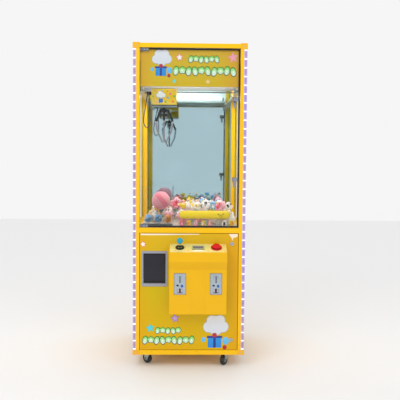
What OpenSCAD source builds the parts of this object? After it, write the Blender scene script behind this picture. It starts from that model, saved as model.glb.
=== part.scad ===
// Claw crane machine. Origin on the floor under the middle of the footprint,
// +Z up, the front faces -Y and +X is to the right of someone playing it.
// Inside each module y counts from the cabinet's front plane towards the rear.

/* [Cabinet] */
// Width over the two light strips
cab_w = 664; // [600:4:800]
// Depth of the cabinet, front plane to rear plane
cab_d = 700; // [640:4:900]
// Height of the lower door opening
lower_open_h = 705; // [640:1:900]
// Height of the window opening
upper_open_h = 1050; // [850:1:1300]
// Gap between the floor and the bottom rails
foot_h = 78; // [74:1:100]
// Square section of the corner posts, and width of every rail
post = 38; // [32:1:50]
// Height of the bottom rails
bottom_rail = 28; // [24:1:40]
// Height of the middle rails
mid_rail = 30; // [26:1:40]
// Height of the top rails
top_rail = 25; // [22:1:36]
// Side of the square light strip let into the front corners
strip = 18; // [12:1:24]
// How far the corner caps stand proud
cap_t = 2; // [1:0.5:4]
// Thickness of the painted cover panels
panel_t = 8; // [4:1:14]
// Thickness of the mirror on the rear wall
mirror_t = 6; // [3:1:8]
// Thickness of the prize bed and of the base board
board_t = 12; // [8:1:18]

/* [Doors] */
// Gap between a door and its opening
door_gap = 3; // [2:0.5:5]
// Distance of the door pivots from the opening's left edge
pivot_inset = 10; // [9:0.5:14]
// Radius of the door pivot pins
pivot_r = 3; // [2.5:0.25:4]
// Length of each pivot pin inside its rail
pivot_l = 12; // [8:1:16]
// Thickness of the window glass
glass_t = 6; // [4:1:8]
// Depth of the glass behind the front plane
glass_y = 8; // [7:0.5:10]
// Visible width of the black edge trim
trim_w = 8; // [6:1:12]
// Height of the printed marquee panel
marquee_h = 213; // [120:1:260]
// Thickness of the marquee panel
marquee_t = 2; // [1:0.5:3]
// Thickness of the lower door's sheet steel
skin_t = 2; // [1:0.5:3]
// Depth of the lower door's folded edge
flange_d = 18; // [14:1:24]

/* [Locks] */
// Radius of a lock barrel
barrel_r = 8; // [7:0.5:9]
// Radius of a lock's chrome face
bezel_r = 11; // [10:0.5:13]
// Distance of the window door's upper lock below its opening's top
lock_drop_a = 295; // [250:1:340]
// Distance of the window door's second lock below its opening's top
lock_drop_b = 762; // [700:1:800]
// Distance of the lower door's locks from its opening's ends
lock_inset = 63; // [40:1:90]
// Length of a lock cam, from its turning axis
cam_l = 48; // [46:1:52]

/* [Prize door] */
// Width of the prize door's frame
prize_w = 154; // [140:1:180]
// Height of the prize door's frame
prize_h = 211; // [180:1:240]
// Height of the prize door's frame above the floor
prize_z = 492; // [440:1:520]
// Visible width of the frame's sides
prize_rim = 11; // [8:1:16]

/* [Console] */
// Width of the control console
console_w = 335; // [310:1:380]
// Distance of the console's middle to the right of the centre
console_x = 53; // [40:1:60]
// How far the console's deck stands out from the door
deck_reach = 100; // [90:1:140]
// Drop of the deck from its rear edge to its front edge
deck_drop = 40; // [20:1:60]
// Height of the console's front face
face_h = 54; // [40:1:70]
// How far the coin box front stands out from the door
box_reach = 70; // [60:1:88]
// Height of the slope between the front face and the coin box
under_h = 49; // [30:1:60]
// Height of the coin box front
box_h = 264; // [220:1:300]
// Distance of joystick and button from the console's middle
control_dx = 107; // [95:1:115]
// Distance of the coin selectors from the console's middle
coin_dx = 105; // [95:1:115]
// Width of a coin selector plate
coin_w = 69; // [60:1:76]
// Height of a coin selector plate
coin_h = 125; // [110:1:130]
// Radius of the joystick ball
ball_r = 17.5; // [15:0.5:22]
// Height of the joystick ball above the deck
ball_h = 47; // [44:1:60]
// Radius of the push button's dome
dome_r = 27; // [24:1:30]

/* [Gantry] */
// Distance of the gantry's running surface below the window opening's top
gantry_drop = 248; // [240:1:300]
// Radius of the bridge wheels
bridge_wheel_r = 16; // [14:0.5:18]
// Depth of the claw's middle behind the front plane, at home
home_y = 150; // [140:1:170]
// Distance of the claw's middle to the left of the centre, at home
home_x = 155; // [140:1:160]
// Width of the trolley
trolley_w = 150; // [140:2:160]
// Depth of the trolley
trolley_d = 116; // [110:2:120]
// Height of the trolley's printed cover
cover_h = 100; // [80:1:110]
// Radius of the winch drum
drum_r = 14; // [10:0.5:16]
// Radius of the claw's spread at its knees
knee_r = 62; // [50:1:70]
// Height of the claw from its crown to its tips
claw_h = 196; // [160:1:220]

/* [Prizes] */
// Radius of the large plush toys
toy_r = 47; // [40:1:50]
// Radius of the small plush toys along the front
small_toy_r = 21; // [16:1:22]
// Radius of the big striped plush ball
ball_toy_r = 64; // [50:1:66]
// Radius of the long plush bolster
bolster_r = 29; // [22:1:30]

/* [Prize chute] */
// Width of the prize chute
chute_w = 190; // [182:1:196]
// Depth of the prize chute, front to rear
chute_d = 190; // [170:1:200]
// Height of the clear guard above the prize bed
guard_h = 240; // [150:1:300]
// Thickness of the clear guard
guard_t = 4; // [3:1:6]
// Thickness of the sheet metal inside
sheet_t = 2; // [1:0.5:3]

/* [Casters] */
// Radius of a caster wheel
wheel_r = 31; // [25:0.5:32]
// Width of a caster wheel
wheel_w = 22; // [18:1:26]
// Distance of each caster from the cabinet's middle line
caster_x = 231; // [200:1:240]
// Distance of each caster from the front and rear planes
caster_y = 75; // [72:1:100]
// Trail of a caster wheel behind its swivel
caster_trail = 26; // [20:1:30]

/* [Hidden] */
$fn = 48;

// Levels and edges that follow from the driving sizes
lower_z0 = foot_h + bottom_rail;
lower_z1 = lower_z0 + lower_open_h;
upper_z0 = lower_z1 + mid_rail;
upper_z1 = upper_z0 + upper_open_h;
cab_h = upper_z1 + top_rail;
half_w = cab_w / 2;
half_open = half_w - post;
inner_d = cab_d - post;
front_y = deck_reach - (cab_d + deck_reach) / 2;
over = 1;                       // how far a cut runs past the face it opens
fit = 0.05;                     // radial clearance of a running fit
slide_gap = 0.3;                // clearance of a sliding or soft piece
yellow = [1.0, 0.74, 0.02];
mustard = [0.82, 0.72, 0.16];
steel = [0.72, 0.73, 0.75];
dark = [0.07, 0.07, 0.08];
clear = [0.75, 0.85, 0.88, 0.35];

// Door pivots
pivot_x = -half_open + pivot_inset;
window_pivot_y = glass_y + glass_t / 2;
lower_pivot_y = 6;

// Mains inlet in the rear panel
inlet_x = half_open - 60;
inlet_z = lower_z0 + 60;

// Locks
window_lock_x = half_open - 30;
lower_lock_x = half_open - 40;
cam_y = post + 2;               // the cams turn just behind the corner posts
cam_t = 2;
cam_half_w = 7;
plug_r = 5;

// Prize door
prize_x0 = -half_open + 13;
prize_in_x0 = prize_x0 + prize_rim;
prize_in_x1 = prize_x0 + prize_w - prize_rim;
prize_in_z0 = prize_z + 17;
prize_in_z1 = prize_z + prize_h - 14;
sleeve_d = 20;
flap_y = 4;
flap_t = 4;
flap_pin_r = 2.5;
flap_pin_z = prize_in_z1 - 6;
flap_pin_y = flap_y + flap_t / 2 + 2;

// Console profile: distance in front of the door, height
deck_z = lower_z1 - 63;
deck_angle = atan(deck_drop / deck_reach);
face_z1 = deck_z - deck_drop;
face_z0 = face_z1 - face_h;
box_z1 = face_z0 - under_h;
box_z0 = box_z1 - box_h;
console_x0 = console_x - console_w / 2;
console_x1 = console_x + console_w / 2;
control_s = 46;                 // controls sit this far in front of the door
control_z = deck_z - control_s * tan(deck_angle);
coin_z = box_z1 - 84;
coin_xs = [console_x - coin_dx, console_x + coin_dx];
coin_body_w = coin_w - 11;
coin_body_h = coin_h - 15;
coin_plate_t = 3;
coin_button_r = 7.8;
coin_button_z = coin_z - 12;
coin_button_x = 12;
cup_w = 34;
cup_h = 26;
cup_z = coin_z - coin_h / 2 + 10;

// Joystick and push button, in the deck's own tilted frame
gimbal_z = -20;
gimbal_pin_r = 2;
ring_r = 14;
shaft_r = 5;
cavity_r = 22;
collar_r = 26;
collar_h = 5;
collar_bore = 13;
housing_r = 24;
bezel_ring_r = dome_r + 5;
bezel_ring_h = 6;
stem_r = 20;
button_travel = 4;
dome_h = 16;

// Prize chute
bed_z = upper_z0;
chute_x0 = -half_open + 4;
chute_x1 = chute_x0 + chute_w;
chute_y0 = post + 4;
chute_y1 = chute_y0 + chute_d;
chute_lip_y = flange_d + 6;
chute_lip_z = prize_in_z0 - 13;
chute_back_z = chute_lip_z + 94;
chute_top_lip_z = prize_z + prize_h + 17;

// Gantry
run_z = upper_z1 - gantry_drop;
track_t = 3;
track_w = 28;
track_x = half_open + 2;
axle_y = home_y + 65;
axle_z = run_z + bridge_wheel_r;
axle_r = 4;
end_plate_x = track_x - track_w + 2;
end_plate_t = 4;
wheel_x0 = end_plate_x + 8;
wheel_x1 = track_x - 6;
beam_z0 = run_z + 26;
beam_h = 20;
beam_gap = trolley_d / 2 - 16;  // inner edge of each beam's ledge from the claw's plane
ledge = 15;
trolley_x = -home_x;
trolley_x0 = trolley_x - trolley_w / 2;
trolley_x1 = trolley_x + trolley_w / 2;
trolley_y0 = home_y - trolley_d / 2;
trolley_y1 = home_y + trolley_d / 2;
trolley_floor_z = beam_z0 - 4 - cover_h;
trolley_wheel_r = 8;
trolley_axle_x = trolley_x + 45;
trolley_axle_z = beam_z0 + track_t + trolley_wheel_r;
cheek_t = 3;
cheek_x = trolley_w / 2 - 6;
drum_w = 22;
drum_y = home_y + drum_r;
drum_z = trolley_floor_z + 60;
lamp_z = upper_z1 - 160;
lamp_y = post + 24;
lamp_r = 13;

// Claw, measured down from the trolley's floor
crown_z = trolley_floor_z - 22;
coil_r = 20;
coil_h = 44;
pivot_ring_r = 26;
knee_z = crown_z - 66;
tip_z = crown_z - claw_h;
tip_r = 16;
finger_angles = [150, 30, -90];
finger_w = 10;
finger_t = 4;
finger_pin_r = 2;
rod_r = 5;

// Prizes
toy_pitch = 2 * toy_r + 1;
toy_row_y = post + 118;
toy_columns = floor((2 * half_open - 6) / toy_pitch);
toy_rows = floor((cab_d - 20 - toy_row_y + toy_r) / toy_pitch);
toy_z = bed_z + slide_gap + toy_r;
top_toy_r = toy_r - 2;
small_pitch = 2 * small_toy_r + 1;
// the striped ball lies in this pocket between the large toys
ball_column = toy_columns - 1.5;
ball_row = 2.5;
// toys between the chute's rear guard and the first row behind it
gap_toy_r = (toy_row_y + 2 * toy_pitch - toy_r - chute_y1 - guard_t) / 2 - slide_gap;

// Casters
plate_half = 36;
plate_t = 3;
swivel_r = 20;
fork_gap = 2;
fork_t = 3;
wheel_axle_r = 4;
caster_spots = [[-1, 0, 140], [1, 0, 235], [-1, 1, 200], [1, 1, 160]];

// Spare gantry lead: hangs in a loop from a clip on the bridge's left end plate, as
// distances from the lower front edge of the clip
cable_r = 3;
cable_from = [-end_plate_x, home_y - 38, run_z + 6];
cable_route = [[18, 0, 0], [18, 0, -11], [13, 1, -31], [8, 2, -59], [2, 3, -91],
  [-4, 4, -127], [-8, 5, -163], [-6, 6, -191], [3, 7, -209], [15, 8, -213], [25, 8, -203],
  [30, 8, -179], [30, 7, -143], [28, 6, -103], [26, 5, -63], [24, 4, -29], [24, 3, -11],
  [24, 3, 0]];
cable_sides = 8;

// ---------- helpers ----------

// A block between two corners
module block(x0, x1, y0, y1, z0, z1) {
  translate([x0, y0, z0]) cube([x1 - x0, y1 - y0, z1 - z0]);
}

module rod_x(x0, x1, y, z, r) {
  translate([x0, y, z]) rotate([0, 90, 0]) cylinder(r = r, h = x1 - x0);
}

module rod_y(x, y0, y1, z, r) {
  translate([x, y0, z]) rotate([-90, 0, 0]) cylinder(r = r, h = y1 - y0);
}

module rod_z(x, y, z0, z1, r) {
  translate([x, y, z0]) cylinder(r = r, h = z1 - z0);
}

// Puts what is drawn from the cabinet's front plane into the part's frame
module placed() {
  translate([0, front_y, 0]) children();
}

// Left and right copies
module both_sides() {
  children();
  mirror([1, 0, 0]) children();
}

// An outline in the side view, made solid across the width from x0 to x1
module side_profile(x0, x1, points) {
  translate([x0, 0, 0]) rotate([90, 0, 90]) linear_extrude(x1 - x0) polygon(points);
}

// The deck's own frame: z is its normal, y runs up the slope
module on_deck(x) {
  translate([x, -control_s, control_z]) rotate([deck_angle, 0, 0]) children();
}

// ---------- cabinet ----------

module front_post() {
  difference() {
    block(half_open, half_w, 0, post, foot_h, cab_h);
    block(half_w - strip, half_w + over, -over, strip, foot_h - over, cab_h + over);
  }
}

module rail_set(z0, z1) {
  block(-half_open, half_open, inner_d, cab_d, z0, z1);
  both_sides() block(half_open, half_w, post, inner_d, z0, z1);
}

module cabinet_frame() color(yellow) placed() {
  both_sides() front_post();
  both_sides() block(half_open, half_w, inner_d, cab_d, foot_h, cab_h);
  rail_set(foot_h, lower_z0);
  rail_set(lower_z1, upper_z0);
  rail_set(upper_z1, cab_h);
  difference() {
    block(-half_open, half_open, 0, post, foot_h, lower_z0);
    rod_z(pivot_x, lower_pivot_y, lower_z0 - pivot_l - over, lower_z0 + over, pivot_r + fit);
  }
  difference() {
    block(-half_open, half_open, 0, post, lower_z1, upper_z0);
    rod_z(pivot_x, lower_pivot_y, lower_z1 - over, lower_z1 + pivot_l + over, pivot_r + fit);
    rod_z(pivot_x, window_pivot_y, upper_z0 - pivot_l - over, upper_z0 + over, pivot_r + fit);
  }
  difference() {
    block(-half_open, half_open, 0, post, upper_z1, cab_h);
    rod_z(pivot_x, window_pivot_y, upper_z1 - over, upper_z1 + pivot_l + over, pivot_r + fit);
  }
}

module vent_slots(x0, z0, count, length) {
  slot_h = 6;
  for (i = [0 : count - 1])
    block(x0, x0 + length, cab_d - panel_t - 2 - over, cab_d, z0 + i * 16, z0 + i * 16 + slot_h);
}

module cover_panels() color(yellow) placed() {
  rear_y0 = cab_d - 2 - panel_t;
  both_sides() block(half_w - 6 - panel_t, half_w - 6, post, inner_d, lower_z0, lower_z1);
  block(-half_open, half_open, post, inner_d, cab_h - 2 - panel_t, cab_h - 2);
  block(-half_open, half_open, rear_y0, cab_d - 2, upper_z0, upper_z1);
  difference() {
    block(-half_open, half_open, rear_y0, cab_d - 2, lower_z0, lower_z1);
    vent_slots(-180, lower_z0 + 90, 6, 130);
    vent_slots(50, lower_z0 + 90, 6, 130);
    block(inlet_x - 14, inlet_x + 14, rear_y0 - over, cab_d, inlet_z - 10, inlet_z + 10);
  }
  block(-half_open, half_open, post, inner_d, foot_h, foot_h + board_t);
}

module side_windows() color(clear) placed() {
  window_t = 5;
  both_sides() block(half_w - 8 - window_t, half_w - 8, post, inner_d, upper_z0, upper_z1);
}

module mirror_panel() color([0.72, 0.8, 0.83]) placed() {
  rear_y0 = cab_d - 2 - panel_t;
  block(-half_open, half_open, rear_y0 - mirror_t, rear_y0, upper_z0, upper_z1);
}

module prize_bed() color([0.85, 0.83, 0.78]) placed() {
  difference() {
    block(-half_open, half_open, post, inner_d, bed_z - board_t, bed_z);
    block(chute_x0, chute_x1, chute_y0, chute_y1, bed_z - board_t - over, bed_z + over);
  }
}

module chute_guard() color(clear) placed() {
  block(chute_x1, chute_x1 + guard_t, post, chute_y1 + guard_t, bed_z, bed_z + guard_h);
  block(-half_open, chute_x1, chute_y1, chute_y1 + guard_t, bed_z, bed_z + guard_h);
}

// Sheet metal chute: open at the top, and at the front where the prize comes out
module prize_chute() color(steel) placed() {
  neck_z = lower_z1 - 6;
  floor_slope = (chute_back_z - chute_lip_z) / (chute_y1 - chute_lip_y);
  difference() {
    side_profile(chute_x0, chute_x1, [[chute_y0, bed_z], [chute_y0, neck_z],
      [chute_lip_y, chute_top_lip_z], [chute_lip_y, chute_lip_z], [chute_y1, chute_back_z],
      [chute_y1, bed_z]]);
    side_profile(chute_x0 + sheet_t, chute_x1 - sheet_t, [[chute_y0 + sheet_t, bed_z + over],
      [chute_y0 + sheet_t, neck_z], [chute_lip_y + sheet_t, chute_top_lip_z],
      [chute_lip_y - over, chute_top_lip_z],
      [chute_lip_y - over, chute_lip_z + sheet_t - over * floor_slope],
      [chute_y1 - sheet_t, chute_back_z + sheet_t - sheet_t * floor_slope],
      [chute_y1 - sheet_t, bed_z + over]]);
  }
}

module led_strips() color([0.93, 0.9, 0.98]) placed() {
  both_sides() block(half_w - strip, half_w, 0, strip, foot_h, cab_h);
}

// One moulded corner cap at the top right; the others are its mirror images
module corner_cap(cap_h) {
  block(half_open, half_w + cap_t, -cap_t, 0, cab_h - cap_h, cab_h);
  block(half_w, half_w + cap_t, 0, post, cab_h - cap_h, cab_h);
}

module corner_caps() color(yellow) placed() {
  both_sides() union() {
    corner_cap(30);
    block(half_open, half_w + cap_t, -cap_t, post, cab_h, cab_h + 2 * cap_t);
  }
  translate([0, 0, foot_h + cab_h]) mirror([0, 0, 1]) both_sides() union() corner_cap(28);
}

module lamp_housing() color("white") placed() {
  lip = 30;
  block(-track_x, track_x, post, post + sheet_t, lamp_z - 60, lamp_z + 80);
  block(-half_open, half_open, post + sheet_t, post + lip, lamp_z + 80 - sheet_t, lamp_z + 80);
  block(-half_open, half_open, post + sheet_t, post + lip, lamp_z - 60, lamp_z - 60 + sheet_t);
  both_sides() block(half_open - 16, half_open - 6, post + sheet_t, post + 40,
    lamp_z - 16, lamp_z + 16);
}

module lamp_tube() color([1, 1, 0.95]) placed() {
  rod_x(-half_open + 16, half_open - 16, lamp_y, lamp_z, lamp_r);
}

module gantry_rails() color(steel) placed() {
  both_sides() {
    block(track_x - track_w, track_x + track_t, post, inner_d, run_z - track_t, run_z);
    block(track_x, track_x + track_t, post, inner_d, run_z, run_z + 48);
  }
}

// ---------- electrics ----------

module electrics() color([0.2, 0.45, 0.3]) placed() {
  board_x = half_w - 6 - panel_t;
  base_z = foot_h + board_t;
  // power supply on the base
  block(-200, -90, 520, 640, base_z, base_z + 50);
  // control board on four spacers on the right side panel
  block(board_x - 16, board_x - 14, 340, 520, 420, 560);
  for (y = [350, 510], z = [430, 550]) rod_x(board_x - 14, board_x, y, z, 4);
  // loudspeaker under the prize bed
  rod_z(140, 320, bed_z - board_t - 12, bed_z - board_t, 50);
  rod_z(140, 320, bed_z - board_t - 40, bed_z - board_t - 12, 30);
}

module mains_inlet() color(dark) placed() {
  rear_y = cab_d - 2;
  difference() {
    union() {
      block(inlet_x - 22, inlet_x + 22, rear_y, rear_y + 2, inlet_z - 14, inlet_z + 14);
      block(inlet_x - 14, inlet_x + 14, rear_y - 26, rear_y, inlet_z - 10, inlet_z + 10);
    }
    block(inlet_x - 11, inlet_x + 11, rear_y - 16, rear_y + 2 + over, inlet_z - 7, inlet_z + 7);
  }
  for (dx = [-5, 5]) block(inlet_x + dx - 1, inlet_x + dx + 1, rear_y - 16, rear_y - 6,
    inlet_z - 3, inlet_z + 3);
}

// ---------- casters ----------

function caster_pos(i) = [caster_spots[i][0] * caster_x,
  caster_spots[i][1] == 0 ? caster_y : cab_d - caster_y];
function caster_yaw(i) = caster_spots[i][2];

module at_caster(i) {
  translate([caster_pos(i)[0], caster_pos(i)[1], 0]) rotate([0, 0, caster_yaw(i)]) children();
}

module caster_plates() color(steel) placed() {
  for (i = [0 : 3]) translate([caster_pos(i)[0], caster_pos(i)[1], 0]) {
    block(-plate_half, plate_half, -plate_half, plate_half, foot_h - plate_t, foot_h);
    rod_z(0, 0, foot_h - plate_t - 4, foot_h - plate_t, swivel_r);
  }
}

// The fork's trail direction is +x in its own frame
module caster_fork(i) color(steel) placed() at_caster(i) {
  crown_top = foot_h - plate_t - 4 - slide_gap;
  leg_y = wheel_w / 2 + fork_gap;
  difference() {
    union() {
      rod_z(0, 0, crown_top - 3, crown_top, swivel_r - 1);
      block(0, caster_trail + 12, -leg_y - fork_t, leg_y + fork_t, crown_top - 3, crown_top);
      for (s = [-1, 1]) {
        side_y = s > 0 ? leg_y : -leg_y - fork_t;
        translate([0, side_y + fork_t, 0]) rotate([90, 0, 0]) linear_extrude(fork_t)
          polygon([[-12, crown_top - 3], [caster_trail + 12, crown_top - 3],
            [caster_trail + 8, wheel_r - 7], [caster_trail - 8, wheel_r - 7]]);
      }
    }
    rod_y(caster_trail, -leg_y - fork_t - over, leg_y + fork_t + over, wheel_r,
      wheel_axle_r + fit);
  }
}

module caster_wheel(i) color(dark) placed() at_caster(i) {
  leg_y = wheel_w / 2 + fork_gap;
  translate([caster_trail, 0, wheel_r]) rotate([90, 0, 0]) rotate_extrude()
    polygon([[0, -leg_y - fork_t - 2], [wheel_axle_r, -leg_y - fork_t - 2],
      [wheel_axle_r, -wheel_w / 2], [wheel_r - 3, -wheel_w / 2], [wheel_r, -wheel_w / 2 + 3],
      [wheel_r, wheel_w / 2 - 3], [wheel_r - 3, wheel_w / 2], [wheel_axle_r, wheel_w / 2],
      [wheel_axle_r, leg_y + fork_t + 2], [0, leg_y + fork_t + 2]]);
}

module caster_fork_1() caster_fork(0);
module caster_fork_2() caster_fork(1);
module caster_fork_3() caster_fork(2);
module caster_fork_4() caster_fork(3);
module caster_wheel_1() caster_wheel(0);
module caster_wheel_2() caster_wheel(1);
module caster_wheel_3() caster_wheel(2);
module caster_wheel_4() caster_wheel(3);

// ---------- prizes ----------

function toy_x(column) = half_open - toy_r - 3 - column * toy_pitch;
function toy_y(row) = toy_row_y + row * toy_pitch;
// Height at which a ball of radius r rests in the hollow between four large toys
function pocket_z(r) =
  toy_z + sqrt(pow(r + toy_r + slide_gap, 2) - 2 * pow(toy_pitch / 2, 2));
function clear_of_chute(row, column) = toy_x(column) - toy_r > chute_x1 + guard_t
  || toy_y(row) - toy_r > chute_y1 + guard_t;

module plush_ball() color([0.95, 0.6, 0.65]) placed() {
  translate([toy_x(ball_column), toy_y(ball_row), pocket_z(ball_toy_r)])
    sphere(r = ball_toy_r);
}

module plush_bolster() color([0.95, 0.85, 0.2]) placed() {
  x0 = chute_x1 + guard_t + 30;
  length = 318;
  bolster_z = bed_z + 2 * (small_toy_r + slide_gap) + bolster_r;
  bolster_y = post + 36;
  rod_x(x0 + bolster_r, x0 + length - bolster_r, bolster_y, bolster_z, bolster_r);
  for (x = [x0 + bolster_r, x0 + length - bolster_r])
    translate([x, bolster_y, bolster_z]) sphere(r = bolster_r);
}

module plush_animals() color([0.95, 0.8, 0.8]) placed() {
  for (row = [0 : toy_rows - 1], column = [0 : toy_columns - 1])
    if (clear_of_chute(row, column))
      translate([toy_x(column), toy_y(row), toy_z]) sphere(r = toy_r);
  for (row = [0 : toy_rows - 2], column = [0 : toy_columns - 2])
    if (clear_of_chute(row, column + 1)
      && norm([column + 0.5 - ball_column, row + 0.5 - ball_row]) > 1.1)
      translate([toy_x(column + 0.5), toy_y(row + 0.5), pocket_z(top_toy_r)])
        sphere(r = top_toy_r);
  for (i = [0 : 2])
    translate([-half_open + 3 + gap_toy_r + i * (2 * gap_toy_r + 1),
      chute_y1 + guard_t + slide_gap + gap_toy_r, bed_z + slide_gap + gap_toy_r])
      sphere(r = gap_toy_r);
  for (i = [0 : 7])
    translate([chute_x1 + guard_t + 30 + small_toy_r + i * small_pitch, post + 36,
      bed_z + slide_gap + small_toy_r]) sphere(r = small_toy_r);
}

// ---------- window door ----------

glass_x0 = -half_open + door_gap;
glass_x1 = half_open - door_gap - 4;
glass_z0 = upper_z0 + door_gap + 3;
glass_z1 = upper_z1 - door_gap - 3;
patch_x0 = -half_open + 5;
patch_x1 = patch_x0 + 46;
patch_h = 18;
patch_y0 = glass_y - 4;
patch_y1 = glass_y + glass_t + 4;
window_lock_zs = [upper_z1 - lock_drop_a, upper_z1 - lock_drop_b];
lower_lock_zs = [lower_z1 - lock_inset, lower_z0 + lock_inset];

module door_glass() color(clear) placed() {
  difference() {
    block(glass_x0, glass_x1, glass_y, glass_y + glass_t, glass_z0, glass_z1);
    for (z = window_lock_zs)
      rod_y(window_lock_x, glass_y - over, glass_y + glass_t + over, z, barrel_r);
  }
}

// Black channel round the glass's top, bottom and closing edge
module door_trim() color(dark) placed() {
  outer_x = half_open - door_gap;
  outer_z0 = upper_z0 + door_gap;
  outer_z1 = upper_z1 - door_gap;
  trim_y0 = glass_y - 5;
  trim_y1 = glass_y + glass_t + 5;
  difference() {
    union() {
      block(outer_x - trim_w, outer_x, trim_y0, trim_y1, outer_z0, outer_z1);
      block(patch_x1 + 2, outer_x, trim_y0, trim_y1, outer_z0, outer_z0 + trim_w);
      block(patch_x1 + 2, outer_x, trim_y0, trim_y1, outer_z1 - trim_w, outer_z1);
    }
    block(glass_x0, glass_x1, glass_y, glass_y + glass_t, glass_z0, glass_z1);
  }
}

module marquee_panel() color(mustard) placed() {
  top_z = upper_z1 - door_gap - trim_w;
  y0 = glass_y + glass_t;
  difference() {
    block(glass_x0, half_open - door_gap - trim_w, y0, y0 + marquee_t, top_z - marquee_h, top_z);
    block(glass_x0 - over, patch_x1 + 1, y0 - over, y0 + marquee_t + over,
      upper_z1 - door_gap - patch_h - 1, top_z + over);
  }
}

// Clamp fitting on a corner of the glass, with its pivot pin
module pivot_patch() {
  z1 = upper_z1 - door_gap;
  difference() {
    block(patch_x0, patch_x1, patch_y0, patch_y1, z1 - patch_h, z1);
    block(glass_x0, glass_x1, glass_y, glass_y + glass_t, glass_z0, glass_z1);
  }
  rod_z(pivot_x, window_pivot_y, z1, upper_z1 + pivot_l, pivot_r);
}

module window_lock_barrel(z) {
  difference() {
    union() {
      rod_y(window_lock_x, glass_y - 12, glass_y - 3, z, bezel_r);
      block(window_lock_x - 13, half_open - door_gap - trim_w, glass_y - 3, glass_y, z - 12, z + 12);
      rod_y(window_lock_x, glass_y - 3, cam_y - 3, z, barrel_r);
    }
    rod_y(window_lock_x, glass_y - 12 - over, cam_y - 3 + over, z, plug_r + fit);
  }
}

module door_fittings() color(steel) placed() {
  union() pivot_patch();
  translate([0, 0, upper_z0 + upper_z1]) mirror([0, 0, 1]) union() pivot_patch();
  for (z = window_lock_zs) window_lock_barrel(z);
}

// Key plug and cam of one lock; the cam hangs down when the lock is open
module lock_cam(x, z, face_y) {
  rod_y(x, face_y, cam_y, z, plug_r);
  difference() {
    block(x - cam_half_w, x + cam_half_w, cam_y, cam_y + cam_t, z - cam_l, z + 8);
    rod_y(x, cam_y - over, cam_y + cam_t + over, z - cam_l + 8, 2.5);
  }
}

module lock_window_upper() color("silver") placed()
  lock_cam(window_lock_x, window_lock_zs[0], glass_y - 13);
module lock_window_lower() color("silver") placed()
  lock_cam(window_lock_x, window_lock_zs[1], glass_y - 13);
module lock_door_upper() color("silver") placed()
  lock_cam(lower_lock_x, lower_lock_zs[0], -6);
module lock_door_lower() color("silver") placed()
  lock_cam(lower_lock_x, lower_lock_zs[1], -6);

// ---------- lower door ----------

module lower_door() color(mustard) placed() {
  x0 = -half_open + door_gap;
  x1 = half_open - door_gap;
  z0 = lower_z0 + door_gap;
  z1 = lower_z1 - door_gap;
  difference() {
    union() {
      block(x0, x1, 0, skin_t, z0, z1);
      block(x0, x0 + skin_t, skin_t, flange_d, z0, z1);
      block(x1 - skin_t, x1, skin_t, flange_d, z0, z1);
      block(x0 + skin_t, x1 - skin_t, skin_t, flange_d, z0, z0 + skin_t);
      block(x0 + skin_t, x1 - skin_t, skin_t, flange_d, z1 - skin_t, z1);
    }
    block(prize_in_x0 - 2, prize_in_x1 + 2, -over, skin_t + over, prize_in_z0 - 2, prize_in_z1 + 2);
    block(console_x0 + 20, console_x1 - 20, -over, skin_t + over, box_z0 + 30, face_z1 - 6);
    for (z = lower_lock_zs) rod_y(lower_lock_x, -over, skin_t + over, z, barrel_r);
    for (z = [z0, z1]) rod_z(pivot_x, lower_pivot_y, z - 2 * skin_t, z + 2 * skin_t, pivot_r);
  }
}

// Side outline of the console's sheet metal, given how far it is inset
function console_outline(t) = [
  [t == 0 ? 0 : over, deck_z + (t == 0 ? 0 : over * tan(deck_angle)) - t / cos(deck_angle)],
  [-(deck_reach - t), deck_z - deck_drop + t * tan(deck_angle) - t / cos(deck_angle)],
  [-(deck_reach - t), face_z0 + t / 3],
  [-(box_reach - t), box_z1 + t / 3],
  [-(box_reach - t), box_z0 + t],
  [t == 0 ? 0 : over, box_z0 + t]];

module console() color([1.0, 0.76, 0.05]) placed() {
  difference() {
    side_profile(console_x0, console_x1, console_outline(0));
    side_profile(console_x0 + sheet_t, console_x1 - sheet_t, console_outline(sheet_t));
    on_deck(console_x - control_dx) cylinder(r = collar_bore, h = 3 * collar_r, center = true);
    on_deck(console_x + control_dx) cylinder(r = housing_r + fit, h = 60, center = true);
    on_deck(console_x) cube([64, 36, 20], center = true);
    for (x = coin_xs)
      block(x - coin_body_w / 2, x + coin_body_w / 2, -box_reach - over, -box_reach + sheet_t + over,
        coin_z - coin_body_h / 2, coin_z + coin_body_h / 2);
  }
}

// One coin selector: chrome front, mechanism behind it, coin slot, return cup
module coin_selector(x) {
  plate_y = -box_reach - coin_plate_t;
  difference() {
    union() {
      block(x - coin_w / 2, x + coin_w / 2, plate_y, -box_reach, coin_z - coin_h / 2,
        coin_z + coin_h / 2);
      block(x - coin_body_w / 2, x + coin_body_w / 2, -box_reach, -16,
        coin_z - coin_body_h / 2, coin_z + coin_body_h / 2);
      block(x - 9, x - 3, plate_y - 5, plate_y, coin_z + 6, coin_z + 44);
      block(x + 3, x + 9, plate_y - 5, plate_y, coin_z + 6, coin_z + 44);
      block(x - 9, x + 9, plate_y - 5, plate_y, coin_z + 1, coin_z + 6);
    }
    block(x - 1.4, x + 1.4, plate_y - over, -24, coin_z + 10, coin_z + 40);
    block(x - cup_w / 2, x + cup_w / 2, plate_y - over, -box_reach + 26, cup_z, cup_z + cup_h);
    rod_y(x + coin_button_x, plate_y - over, -box_reach + 12, coin_button_z, coin_button_r + 0.2);
  }
  for (sx = [-1, 1], sz = [-1, 1])
    rod_y(x + sx * (coin_w / 2 - 5), plate_y - 1.6, plate_y, coin_z + sz * (coin_h / 2 - 5), 2.6);
}

module coin_selectors() color("silver") placed() {
  for (x = coin_xs) union() coin_selector(x);
}

module coin_button(x) {
  y0 = -box_reach - coin_plate_t - 6;
  rod_y(x + coin_button_x, y0, y0 + 14, coin_button_z, coin_button_r);
}

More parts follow.
